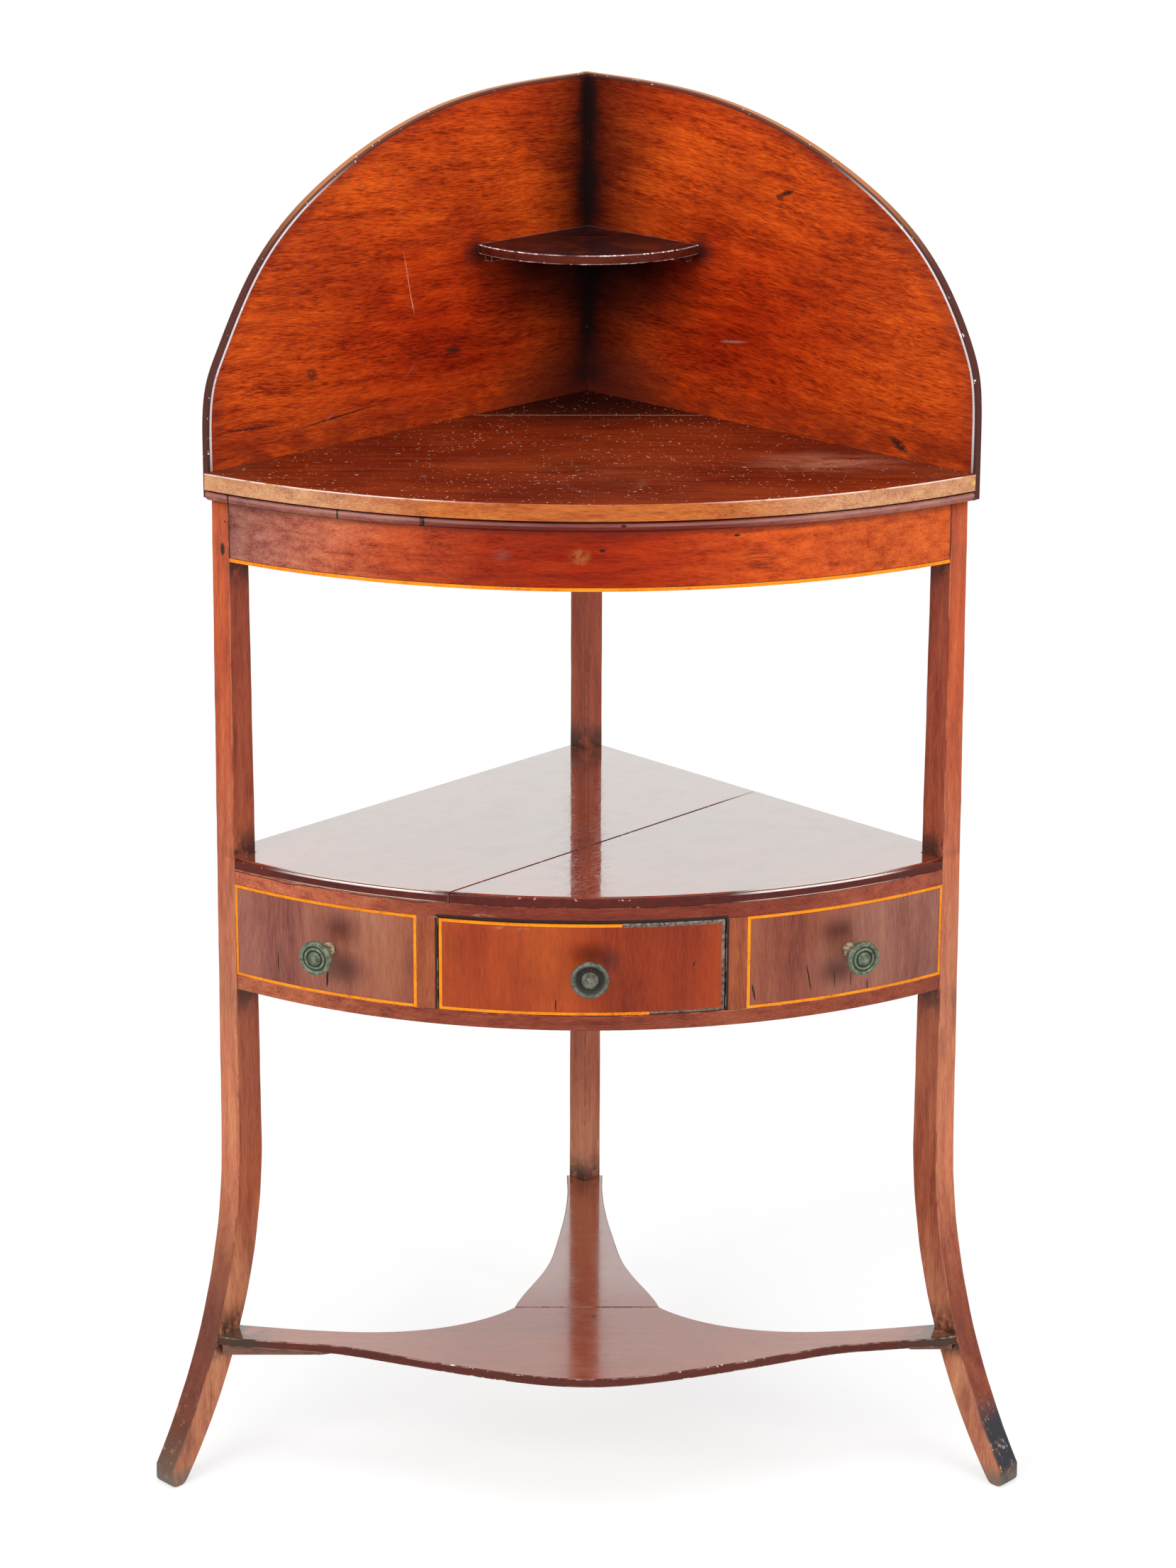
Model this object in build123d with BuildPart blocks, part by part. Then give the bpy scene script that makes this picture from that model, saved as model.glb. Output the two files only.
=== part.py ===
from build123d import *
from math import asin, cos, degrees, sin, sqrt
import os

# Corner washstand in mahogany, sizes in millimetres.
# X runs to the right, the two walls meet behind at +Y, and Z is up.
# The origin is the middle of the rear leg's foot, on the floor.

# Driving dimensions of the frame
side = 420.0            # along one wall, from the rear corner to the outer corner of a front leg
rear_leg_width = 19.5
leg_top_width = 20.0
leg_low_width = 22.5    # depth of a front leg from where its sabre curve starts down
leg_lean = 4.8          # how far its outer face leans out above the curve
overrun = 4.0           # how far a cutting solid passes the face that it cuts

# Heights of the tiers
lower_shelf_top = 120.0
lower_shelf_thickness = 7.6
sabre_start = 285.0
lower_rail_bottom = 416.0
lower_rail_height = 12.6
front_height = 76.8     # the drawer's opening and the two fixed fronts beside it
upper_rail_height = 12.8
mid_shelf_thickness = 8.8
frieze_bottom = 771.8
frieze_height = 47.4
bead_height = 8.4
top_thickness = 13.8
springing_rise = 24.6   # straight part of a backboard's edge above the top board
arch_rise = 247.5

# How far each bowed face stands in front of the legs' outer corners
frieze_bow = 101.0
drawer_bow = 107.5
shelf_bow = 108.5
bead_bow = 104.0
top_bow = 104.5

# Worked out from the sizes above
root_two = sqrt(2)
corner_y = rear_leg_width / root_two
half_width = side / root_two
front_y = corner_y - half_width
front_bottom = lower_rail_bottom + lower_rail_height
front_top = front_bottom + front_height
mid_shelf_bottom = front_top + upper_rail_height
mid_shelf_top = mid_shelf_bottom + mid_shelf_thickness
bead_bottom = frieze_bottom + frieze_height
top_bottom = bead_bottom + bead_height
top_level = top_bottom + top_thickness
springing = top_level + springing_rise

# Planes of the right wall. On right_wall, local X runs from the rear corner along the wall,
# local Y is up and the normal points into the room. On right_section, local X is the inset.
right_wall = Plane(origin=(0, corner_y, 0), x_dir=(1, -1, 0), z_dir=(-1, -1, 0))
right_section = Plane(origin=(0, corner_y, 0), x_dir=(-1, -1, 0), z_dir=(-1, 1, 0))


def plan_point(distance, inset, hand):
    """Plan point at a distance from the rear corner along a wall, and an inset from it."""
    return (hand * (distance - inset) / root_two, corner_y - (distance + inset) / root_two)


def leg_line(height):
    """How far from the rear corner a front leg's outer face stands, above the sabre curve."""
    return side + leg_lean * (bead_bottom - height) / (bead_bottom - sabre_start)


def bow(reach, distance, inset):
    """Centre and radius of the bow of this reach through a plan point and its mirror image."""
    half_chord, chord_y = plan_point(distance, inset, 1)
    rise = chord_y - (front_y - reach)
    radius = (half_chord**2 + rise**2) / (2 * rise)
    return front_y - reach + radius, radius


# The bows run out just inside the legs' corners
bow_landing = leg_top_width - 1.0
frieze_centre, frieze_radius = bow(frieze_bow, side, bow_landing)
drawer_centre, drawer_radius = bow(drawer_bow, leg_line(front_top), bow_landing)
shelf_centre, shelf_radius = bow(shelf_bow, leg_line(mid_shelf_top), bow_landing)


def finish(builder, label):
    """Name a finished piece and write it to its own file."""
    builder.part.label = label
    export_step(builder.part, "parts/" + label + ".step")


def mirrored(builder):
    """The left-hand twin of a right-hand piece."""
    with BuildPart() as twin:
        mirror(builder.part, about=Plane.YZ)
    return twin


def bow_strip(low, high, centre, radius, depth, x_low, x_high):
    """A strip of even depth behind a bowed face, between two planes across the stand."""
    with BuildPart() as strip:
        with BuildSketch(Plane.XY.offset(low)):
            with Locations((0, centre)):
                Circle(radius)
                Circle(radius - depth, mode=Mode.SUBTRACT)
            with Locations(((x_low + x_high) / 2, centre - radius / 2)):
                Rectangle(x_high - x_low, radius + overrun, mode=Mode.INTERSECT)
        extrude(amount=high - low)
    return strip


def bow_disc(low, high, centre, radius, top_ease, foot_ease):
    """A disc about a bow's centre, with its rim eased by flats above and below."""
    with BuildPart() as disc:
        with BuildSketch(Plane.XZ.offset(-centre)) as profile:
            with Locations((radius / 2, (low + high) / 2)):
                Rectangle(radius, high - low)
            rim = profile.vertices().group_by(Axis.X)[-1].sort_by(Axis.Y)
            chamfer(rim[-1], top_ease)
            if foot_ease:
                chamfer(rim[0], foot_ease)
        revolve(axis=Axis((0, centre, 0), (0, 0, 1)))
    return disc


def corner_board(low, high, centre, radius, inset):
    """A board that fills the corner, from an inset off both walls out to a bowed front."""
    reach = leg_line(high)
    with BuildPart() as board:
        with BuildSketch(Plane.XY.offset(low)):
            with BuildLine():
                Polyline(
                    (0, corner_y - inset * root_two),
                    plan_point(reach, inset, 1),
                    plan_point(reach, reach / 2, 1),
                    plan_point(reach, reach / 2, -1),
                    plan_point(reach, inset, -1),
                    close=True,
                )
            make_face()
            with Locations((0, centre)):
                Circle(radius, mode=Mode.INTERSECT)
        extrude(amount=high - low)
    return board


os.makedirs("parts", exist_ok=True)

# Front leg before its mortises: straight above, a sabre curve below that splays along the wall
sabre_outer_radius = 505.0
toe_height = 15.0
toe_width = 13.5        # what is left of the sole on the floor
toe_round = 5.0
leg_arris = 0.8

with BuildPart() as leg_blank_right:
    with BuildSketch(right_wall):
        with BuildLine():
            outer_start = (side + leg_lean, sabre_start)
            inner_start = (side - leg_top_width, sabre_start)
            outer_turn = degrees(asin((sabre_start - toe_height) / sabre_outer_radius))
            outer = JernArc(outer_start, (0, -1), sabre_outer_radius, outer_turn)
            toe = ((outer @ 1).X, 0)
            inner_splay = toe[0] - toe_width - inner_start[0]
            sabre_inner_radius = (inner_splay**2 + sabre_start**2) / (2 * inner_splay)
            inner_turn = degrees(asin(sabre_start / sabre_inner_radius))
            inner = JernArc(inner_start, (0, -1), sabre_inner_radius, inner_turn)
            Polyline(outer @ 1, toe, inner @ 1)
            Polyline(
                inner_start,
                (side - leg_top_width, bead_bottom),
                (side, bead_bottom),
                outer_start,
            )
        make_face()
        fillet(vertices().sort_by_distance(toe)[0], toe_round)
    extrude(amount=leg_low_width)
    with BuildSketch(right_section):
        with BuildLine():
            Polyline(
                (leg_low_width, sabre_start),
                (leg_top_width, bead_bottom),
                (leg_low_width, bead_bottom),
                close=True,
            )
        make_face()
    extrude(amount=side + overrun, both=True, mode=Mode.SUBTRACT)
leg_blank_left = mirrored(leg_blank_right)

# Rear leg before its mortises: straight and square, with a corner turned to the front
with BuildPart() as rear_leg_blank:
    with BuildSketch():
        Rectangle(rear_leg_width, rear_leg_width, rotation=45)
    extrude(amount=top_bottom)

# Rails along the walls, with a stub tenon into the leg at each end
tenon_length = 8.0
tenon_shoulder = 3.0
top_rail_depth = 14.0
case_back_depth = 10.0


def wall_rail(low, high, tenon_high, depth):
    """A rail on the right wall, between the rear leg and the front leg."""
    tenon_middle = (low + tenon_high) / 2
    tenon_start = rear_leg_width - tenon_length
    tenon_stop = side - leg_top_width + tenon_length
    with BuildPart() as rail:
        with BuildSketch(right_wall):
            with Locations(((rear_leg_width + side) / 2, (low + high) / 2)):
                Rectangle(side - rear_leg_width, high - low)
        extrude(amount=depth)
        add(leg_blank_right.part, mode=Mode.SUBTRACT)
        with BuildSketch(right_wall.offset(tenon_shoulder)):
            with Locations(((tenon_start + tenon_stop) / 2, tenon_middle)):
                Rectangle(tenon_stop - tenon_start, tenon_high - low - 2 * tenon_shoulder)
        extrude(amount=depth - 2 * tenon_shoulder)
    return rail


top_rail_blank = wall_rail(frieze_bottom, top_bottom, bead_bottom, top_rail_depth)
case_back_right = wall_rail(
    lower_rail_bottom, mid_shelf_bottom, mid_shelf_bottom, case_back_depth
)
case_back_left = mirrored(case_back_right)

# Bowed rails, shouldered to the front legs and tenoned into them
bow_tenon_depth = 9.0
frieze_depth = 18.0
drawer_rail_depth = 40.0
frieze_string_height = 2.8
string_width = 2.4
string_depth = 1.6


def bowed_rail(low, high, centre, radius, depth, wall_inset):
    """A rail of even depth behind a bowed face, from front leg to front leg."""
    room = corner_board(low, high, centre, radius, wall_inset)
    strip = bow_strip(low, high, centre, radius, depth, -half_width, half_width)
    with BuildPart() as rail:
        add(strip.part)
        add(room.part, mode=Mode.INTERSECT)
        add(leg_blank_right.part, mode=Mode.SUBTRACT)
        add(leg_blank_left.part, mode=Mode.SUBTRACT)
        for hand in (1, -1):
            with BuildSketch(Plane.XY.offset(low + tenon_shoulder)):
                with Locations((0, centre)):
                    Circle(radius - tenon_shoulder)
                    Circle(radius - tenon_shoulder - bow_tenon_depth, mode=Mode.SUBTRACT)
                with BuildLine():
                    Polyline(
                        plan_point(side, leg_top_width - tenon_length, hand),
                        plan_point(side, leg_top_width + overrun, hand),
                        plan_point(side - leg_top_width, leg_top_width + overrun, hand),
                        plan_point(side - leg_top_width, leg_top_width - tenon_length, hand),
                        close=True,
                    )
                make_face(mode=Mode.INTERSECT)
            extrude(amount=high - low - 2 * tenon_shoulder)
    return rail


frieze_blank = bowed_rail(
    frieze_bottom, bead_bottom, frieze_centre, frieze_radius, frieze_depth, top_rail_depth
)
frieze_end = plan_point(side, leg_top_width, 1)[0]
frieze_string_strip = bow_strip(
    frieze_bottom, frieze_bottom + frieze_string_height, frieze_centre, frieze_radius,
    string_depth, -frieze_end, frieze_end,
)
with BuildPart() as frieze_string:
    add(frieze_string_strip.part)
    add(leg_blank_right.part, mode=Mode.SUBTRACT)
    add(leg_blank_left.part, mode=Mode.SUBTRACT)
with BuildPart() as frieze_rail:
    add(frieze_blank.part)
    add(frieze_string.part, mode=Mode.SUBTRACT)
lower_drawer_rail = bowed_rail(
    lower_rail_bottom, front_bottom, drawer_centre, drawer_radius, drawer_rail_depth,
    case_back_depth,
)
upper_drawer_rail = bowed_rail(
    front_top, mid_shelf_bottom, drawer_centre, drawer_radius, drawer_rail_depth,
    case_back_depth,
)

# Lower shelf: a front board with two arms housed in the legs, and a rear board that runs
# back to the rear leg. Outline points are shares of half the stand's width.
housing_depth = 2.0
tongue_length = 5.0
tongue_shoulder = 2.4
rear_tenon_half = 4.0
arm_back_inset = 8.0
front_edge_shares = (
    (0.985, -0.143), (0.92, -0.153), (0.82, -0.168), (0.7, -0.188), (0.57, -0.231),
    (0.431, -0.283), (0.283, -0.333), (0.135, -0.374), (0, -0.389),
)
back_edge_shares = (
    (0.93, -0.064), (0.84, -0.08), (0.7, -0.098), (0.579, -0.103), (0.421, -0.08),
    (0.303, -0.03), (0.204, 0.05),
)
rear_edge_shares = (
    (0.204, 0.05), (0.182, 0.124), (0.145, 0.22), (0.108, 0.333), (0.084, 0.481),
    (0.067, 0.616), (0.054, 0.786),
)


def shelf_points(shares, hand):
    """Plan points of a lower shelf edge, from its shares of half the stand's width."""
    return [(hand * x * half_width, front_y + y * half_width) for x, y in shares]


def splay(radius, height):
    """How far a sabre curve of this radius has run out at a height."""
    return radius - sqrt(radius**2 - (sabre_start - height) ** 2)


lower_shelf_bottom = lower_shelf_top - lower_shelf_thickness
arm_reach = side + leg_lean + splay(sabre_outer_radius, lower_shelf_top)
arm_notch = side - leg_top_width + splay(sabre_inner_radius, lower_shelf_bottom) + housing_depth
arm_seat = leg_low_width - housing_depth
board_joint_y = front_y + back_edge_shares[-1][1] * half_width
joint_half = back_edge_shares[-1][0] * half_width
tongue_half = joint_half - tongue_length

with BuildPart() as shelf_tongue:
    with BuildSketch(Plane.XY.offset(lower_shelf_bottom + tongue_shoulder)):
        with Locations((0, board_joint_y)):
            Rectangle(2 * tongue_half, 2 * tongue_length)
    extrude(amount=lower_shelf_thickness - 2 * tongue_shoulder)

with BuildPart() as lower_shelf_front:
    with BuildSketch(Plane.XY.offset(lower_shelf_bottom)):
        with BuildLine():
            front_right = shelf_points(front_edge_shares, 1)
            front_left = shelf_points(front_edge_shares, -1)
            back_right = shelf_points(back_edge_shares, 1)
            back_left = shelf_points(back_edge_shares, -1)
            notch_right = [plan_point(arm_reach, arm_seat, 1), plan_point(arm_notch, arm_seat, 1),
                           plan_point(arm_notch, arm_back_inset, 1)]
            notch_left = [(-x, y) for x, y in notch_right]
            Spline(notch_right[0], *front_right, *front_left[-2::-1], notch_left[0])
            Spline(notch_right[-1], *back_right)
            Line(back_right[-1], back_left[-1])
            Spline(notch_left[-1], *back_left)
            Polyline(*notch_right)
            Polyline(*notch_left)
        make_face()
    extrude(amount=lower_shelf_thickness)
    add(shelf_tongue.part, mode=Mode.SUBTRACT)

with BuildPart() as lower_shelf_rear:
    with BuildSketch(Plane.XY.offset(lower_shelf_bottom)):
        with BuildLine():
            rear_right = shelf_points(rear_edge_shares, 1)
            rear_left = shelf_points(rear_edge_shares, -1)
            end_half = rear_edge_shares[-1][0] * half_width
            Spline(*(rear_right + [(end_half, 0)]))
            Spline(*(rear_left + [(-end_half, 0)]))
            Line(rear_right[0], rear_left[0])
            Line((end_half, 0), (-end_half, 0))
        make_face()
    extrude(amount=lower_shelf_thickness)
    add(rear_leg_blank.part, mode=Mode.SUBTRACT)
    with Locations((0, -corner_y / 2, lower_shelf_top - lower_shelf_thickness / 2)):
        Box(2 * rear_tenon_half, corner_y, lower_shelf_thickness - 2 * tongue_shoulder)
    add(shelf_tongue.part)

# Cleats under the arms: one shaped bracket on the left, two thin packing strips on the right
cleat_length = 110.0
cleat_height = 9.2
cleat_depth = 18.0
cleat_end_round = 34.0
upper_strip_length = 54.0
lower_strip_length = 36.0
strip_height = 2.3
strip_depth = 16.0
cleat_setback = 4.0
strip_end_round = 2.0


def arm_block(length, low, high, depth, end_round, hand):
    """A block under an arm, running from a front leg towards the middle of the stand."""
    outer = plan_point(arm_reach, leg_low_width, hand)
    corner_x = outer[0] - hand * cleat_setback
    with BuildPart() as block:
        with BuildSketch(Plane.XZ.offset(-outer[1])):
            with BuildLine():
                Polyline(
                    (corner_x, high),
                    (corner_x, low),
                    (corner_x - hand * (length - end_round), low),
                )
                ThreePointArc(
                    (corner_x - hand * (length - end_round), low),
                    (corner_x - hand * (length - end_round / 2), low + (high - low) / 4),
                    (corner_x - hand * length, high),
                )
                Line((corner_x - hand * length, high), (corner_x, high))
            make_face()
        extrude(amount=-depth)
        add(leg_blank_right.part, mode=Mode.SUBTRACT)
        add(leg_blank_left.part, mode=Mode.SUBTRACT)
    return block


arm_cleat_left = arm_block(
    cleat_length, lower_shelf_bottom - cleat_height, lower_shelf_bottom, cleat_depth,
    cleat_end_round, -1,
)
packing_low = lower_shelf_bottom - strip_height
arm_packing_upper = arm_block(
    upper_strip_length, packing_low, lower_shelf_bottom, strip_depth, strip_end_round, 1
)
arm_packing_lower = arm_block(
    lower_strip_length, packing_low - strip_height, packing_low, strip_depth, strip_end_round, 1
)

# Mid shelf: two boards that meet in an open joint, sawn out round the legs
shelf_joint_gap = 0.6
left_board_width = 200.0
shelf_edge_ease = 1.8

shelf_room = corner_board(
    mid_shelf_bottom, mid_shelf_top, shelf_centre, shelf_radius + overrun, 0
)
shelf_disc = bow_disc(
    mid_shelf_bottom, mid_shelf_top, shelf_centre, shelf_radius, shelf_edge_ease, 0
)
with BuildPart() as mid_shelf_blank:
    add(shelf_room.part)
    add(shelf_disc.part, mode=Mode.INTERSECT)
    add(leg_blank_right.part, mode=Mode.SUBTRACT)
    add(leg_blank_left.part, mode=Mode.SUBTRACT)
    add(rear_leg_blank.part, mode=Mode.SUBTRACT)


def shelf_board(near, far):
    """The part of the mid shelf between two distances from the left wall."""
    with BuildPart() as board:
        add(mid_shelf_blank.part)
        with BuildSketch(Plane.XY.offset(mid_shelf_bottom)):
            with BuildLine():
                Polyline(
                    plan_point(-side, near, -1),
                    plan_point(2 * side, near, -1),
                    plan_point(2 * side, far, -1),
                    plan_point(-side, far, -1),
                    close=True,
                )
            make_face()
        extrude(amount=mid_shelf_thickness, mode=Mode.INTERSECT)
    return board


mid_shelf_left = shelf_board(-overrun, left_board_width - shelf_joint_gap / 2)
mid_shelf_right = shelf_board(left_board_width + shelf_joint_gap / 2, side + overrun)

# Top: two boards with a square front edge, on a half-round bead in two lengths
top_overhang = 7.0
top_joint_distance = 137.0
top_centre, top_radius = bow(top_bow, side + top_overhang, 0)
bead_centre, bead_radius = bow(bead_bow, side + top_overhang, 0)
bead_depth = 16.0
bead_joint_x = -130.0
bead_edge_ease = 2.4


def wedge(low, high, centre, radius, reach):
    """A corner board whose wall edges run on past the legs to where the bow meets them."""
    with BuildPart() as board:
        with BuildSketch(Plane.XY.offset(low)):
            with BuildLine():
                Polyline(
                    (0, corner_y),
                    plan_point(2 * reach, 0, 1),
                    plan_point(2 * reach, 0, -1),
                    close=True,
                )
            make_face()
            with Locations((0, centre)):
                Circle(radius, mode=Mode.INTERSECT)
        extrude(amount=high - low)
    return board


top_edge_ease = 0.8
top_joint_y = corner_y - top_joint_distance / root_two
top_room = wedge(top_bottom, top_level, top_centre, top_radius + overrun, side)
top_disc = bow_disc(top_bottom, top_level, top_centre, top_radius, top_edge_ease, 0)
with BuildPart() as top_blank:
    add(top_room.part)
    add(top_disc.part, mode=Mode.INTERSECT)
with BuildPart() as top_board_front:
    add(top_blank.part)
    split(bisect_by=Plane.XZ.offset(-top_joint_y), keep=Keep.TOP)
with BuildPart() as top_board_rear:
    add(top_blank.part)
    split(bisect_by=Plane.XZ.offset(-top_joint_y), keep=Keep.BOTTOM)

bead_room = wedge(bead_bottom, top_bottom, bead_centre, bead_radius + overrun, side)
bead_disc = bow_disc(
    bead_bottom, top_bottom, bead_centre, bead_radius, bead_edge_ease, bead_edge_ease
)
with BuildPart() as bead_ring:
    add(bead_room.part)
    add(bead_disc.part, mode=Mode.INTERSECT)
    with BuildSketch(Plane.XY.offset(bead_bottom)):
        with Locations((0, bead_centre)):
            Circle(bead_radius - bead_depth)
    extrude(amount=bead_height, mode=Mode.SUBTRACT)

with BuildPart() as bead_left:
    add(bead_ring.part)
    split(bisect_by=Plane.YZ.offset(bead_joint_x), keep=Keep.BOTTOM)
with BuildPart() as bead_right:
    add(bead_ring.part)
    split(bisect_by=Plane.YZ.offset(bead_joint_x), keep=Keep.TOP)

with BuildPart() as top_rail_right:
    add(top_rail_blank.part)
    add(bead_ring.part, mode=Mode.SUBTRACT)
top_rail_left = mirrored(top_rail_right)

# Backboards: arched boards screwed to the top board's edges, butted at the corner. They were
# sawn by eye, and the right-hand one is the fuller.
backboard_depth = 10.0
left_board_reach = 1.0
right_board_reach = 4.8
backboard_ease = 1.8
left_arch_shares = ((0.4394, 0.9394), (0.705, 0.7535), (0.8732, 0.5152), (0.9648, 0.2634))
right_arch_shares = ((0.4339, 0.9418), (0.7152, 0.7604), (0.8922, 0.5253), (0.9798, 0.2735))
apex = springing + arch_rise


def backboard(rear_end, reach, arch_shares):
    """A backboard on the right wall, from its rear end to its arched front edge."""
    board_front = side + reach
    with BuildPart() as board:
        with BuildSketch(right_wall):
            with BuildLine():
                arch = [(x * board_front, springing + y * arch_rise) for x, y in arch_shares]
                Spline(
                    (0, apex), *arch, (board_front, springing), tangents=((1, 0), (0, -1))
                )
                Polyline((board_front, springing), (board_front, bead_bottom),
                         (rear_end, bead_bottom), (rear_end, apex))
                if rear_end < 0:
                    Line((rear_end, apex), (0, apex))
            make_face()
        extrude(amount=-backboard_depth)
        chamfer(board.edges().group_by(SortBy.LENGTH)[-1], backboard_ease)
    return board


backboard_blank_right = backboard(-backboard_depth, right_board_reach, right_arch_shares)
backboard_blank_left = mirrored(backboard(0, left_board_reach, left_arch_shares))

# Wood screws through the backboards, three into the top boards and two at the corner
screw_length = 30.0
screw_radius = 2.0
screw_head_radius = 4.2
screw_head_height = 2.6
edge_screw_shares = (0.12, 0.5, 0.86)
corner_screw_shares = (0.3, 0.75)
edge_screw_level = (top_bottom + top_level) / 2

with BuildPart(right_wall.offset(-backboard_depth)) as screws_right:
    for share in edge_screw_shares:
        with Locations((share * side, edge_screw_level)):
            Cone(screw_head_radius, screw_radius, screw_head_height,
                 align=(Align.CENTER, Align.CENTER, Align.MIN))
            Cylinder(screw_radius, screw_length,
                     align=(Align.CENTER, Align.CENTER, Align.MIN))
screws_left = mirrored(screws_right)
with BuildPart(right_wall.offset(-backboard_depth)) as corner_screws:
    for share in corner_screw_shares:
        with Locations((-backboard_depth / 2, top_level + share * arch_rise)):
            Cone(screw_head_radius, screw_radius, screw_head_height,
                 align=(Align.CENTER, Align.CENTER, Align.MIN))
            Cylinder(screw_radius, screw_length,
                     align=(Align.CENTER, Align.CENTER, Align.MIN))
with BuildPart() as backboard_screws:
    add(screws_right.part)
    add(screws_left.part)
    add(corner_screws.part)
with BuildPart() as backboard_right:
    add(backboard_blank_right.part)
    add(backboard_screws.part, mode=Mode.SUBTRACT)
with BuildPart() as backboard_left:
    add(backboard_blank_left.part)
    add(backboard_screws.part, mode=Mode.SUBTRACT)
for board in (top_board_front, top_board_rear):
    with board:
        add(backboard_screws.part, mode=Mode.SUBTRACT)

# Small corner shelf on two cleats
corner_shelf_rise = 143.1      # from the top board to the top of the corner shelf
corner_shelf_thickness = 7.8
corner_shelf_side = 129.0
corner_shelf_depth = 143.0
corner_cleat_width = 8.0
corner_cleat_height = 7.0
corner_cleat_start = 12.0
corner_cleat_end = 121.0
corner_shelf_top = top_level + corner_shelf_rise
corner_shelf_bottom = corner_shelf_top - corner_shelf_thickness
small_centre, small_radius = bow(corner_shelf_depth - half_width, corner_shelf_side, 0)
corner_shelf = wedge(
    corner_shelf_bottom, corner_shelf_top, small_centre, small_radius, corner_shelf_side
)
with BuildPart() as corner_cleat_right:
    with BuildSketch(right_wall):
        with Locations(((corner_cleat_start + corner_cleat_end) / 2,
                        corner_shelf_bottom - corner_cleat_height / 2)):
            Rectangle(corner_cleat_end - corner_cleat_start, corner_cleat_height)
    extrude(amount=corner_cleat_width)
corner_cleat_left = mirrored(corner_cleat_right)

# Knobs: a waisted neck, a rolled rim and a dished face with a ring and a boss.
# Outline points are shares of a knob's radius and of how far it stands out.
side_knob_radius = 14.0
middle_knob_radius = 15.2
knob_reach = 27.0
knob_level = (front_bottom + front_top) / 2
knob_stem_radius = 2.0
nut_side = 9.0
nut_height = 3.2
nut_seat = 0.4
knob_shares = (
    (0.47, 0), (0.47, 0.06), (0.31, 0.22), (0.35, 0.45), (0.52, 0.61), (0.86, 0.7), (1, 0.79),
    (0.88, 0.91), (0.76, 0.85), (0.62, 0.85), (0.56, 0.9), (0.5, 0.85), (0.38, 0.85), (0, 0.96),
)


def front_plane(x, depth):
    """Plane square across the bowed front at x, with local Y pointing out of the front."""
    y = drawer_centre - sqrt(drawer_radius**2 - x**2)
    turn = asin(x / drawer_radius)
    return Plane(
        origin=(x - depth * sin(turn), y + depth * cos(turn), knob_level),
        x_dir=(0, 0, 1), z_dir=(cos(turn), sin(turn), 0),
    )


def knob(x, radius, stem_length):
    """A cast knob with its stem, standing square off the bowed front."""
    plane = front_plane(x, 0)

    with BuildPart() as turned:
        with BuildSketch(plane):
            with BuildLine():
                outline = [(r * radius, h * knob_reach) for r, h in knob_shares]
                Polyline(
                    outline[-1],
                    (0, -stem_length),
                    (knob_stem_radius, -stem_length),
                    (knob_stem_radius, 0),
                    *outline,
                )
            make_face()
        revolve(axis=Axis(plane.origin, plane.y_dir))
    return turned


def nut(x, depth):
    """The square nut that draws a knob's stem tight behind a front of this depth."""
    plane = front_plane(x, depth + nut_height - nut_seat)
    with BuildPart(Plane(plane.origin, x_dir=(0, 0, 1), z_dir=plane.y_dir)) as square:
        Box(nut_side, nut_side, nut_height, align=(Align.CENTER, Align.CENTER, Align.MIN))
        Hole(knob_stem_radius)
    return square


# Fixed fronts with inlaid strings, and the two uprights beside the drawer's opening
opening_left = -119.0
opening_right = 107.0
divider_width = 17.0
divider_depth = 30.0
front_depth = 12.0
side_knob_x = 206.5
front_end = plan_point(leg_line(front_top), (leg_low_width + leg_top_width) / 2, 1)[0]


def on_front(low, high, depth, x_low, x_high):
    """A strip behind the bowed face of the drawer's tier."""
    return bow_strip(low, high, drawer_centre, drawer_radius, depth, x_low, x_high)


def string_frame(low, high, x_low, x_high):
    """A line of inlay round the edge of a front."""
    outline = on_front(low, high, string_depth, x_low, x_high)
    inside = on_front(
        low + string_width, high - string_width, string_depth + overrun,
        x_low + string_width, x_high - string_width,
    )
    with BuildPart() as frame:
        add(outline.part)
        add(inside.part, mode=Mode.SUBTRACT)
        add(leg_blank_right.part, mode=Mode.SUBTRACT)
        add(leg_blank_left.part, mode=Mode.SUBTRACT)
    return frame


def fixed_front(x_low, x_high, frame, handle, fixing):
    """A fixed front, cut back for its string and bored for its knob's stem."""
    slab = on_front(front_bottom, front_top, front_depth, x_low, x_high)
    with BuildPart() as front:
        add(slab.part)
        add(leg_blank_right.part, mode=Mode.SUBTRACT)
        add(leg_blank_left.part, mode=Mode.SUBTRACT)
        add(frame.part, mode=Mode.SUBTRACT)
        add(handle.part, mode=Mode.SUBTRACT)
        add(fixing.part, mode=Mode.SUBTRACT)
    return front


side_stem = front_depth + nut_height
knob_left = knob(-side_knob_x, side_knob_radius, side_stem)
knob_right = knob(side_knob_x, side_knob_radius, side_stem)
knob_nut_left = nut(-side_knob_x, front_depth)
knob_nut_right = nut(side_knob_x, front_depth)
string_left = string_frame(
    front_bottom, front_top, -front_end, opening_left - divider_width
)
string_right = string_frame(
    front_bottom, front_top, opening_right + divider_width, front_end
)
front_left = fixed_front(
    -front_end, opening_left - divider_width, string_left, knob_left, knob_nut_left
)
front_right = fixed_front(
    opening_right + divider_width, front_end, string_right, knob_right, knob_nut_right
)
divider_left = on_front(
    front_bottom, front_top, divider_depth, opening_left - divider_width, opening_left
)
divider_right = on_front(
    front_bottom, front_top, divider_depth, opening_right, opening_right + divider_width
)

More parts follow.
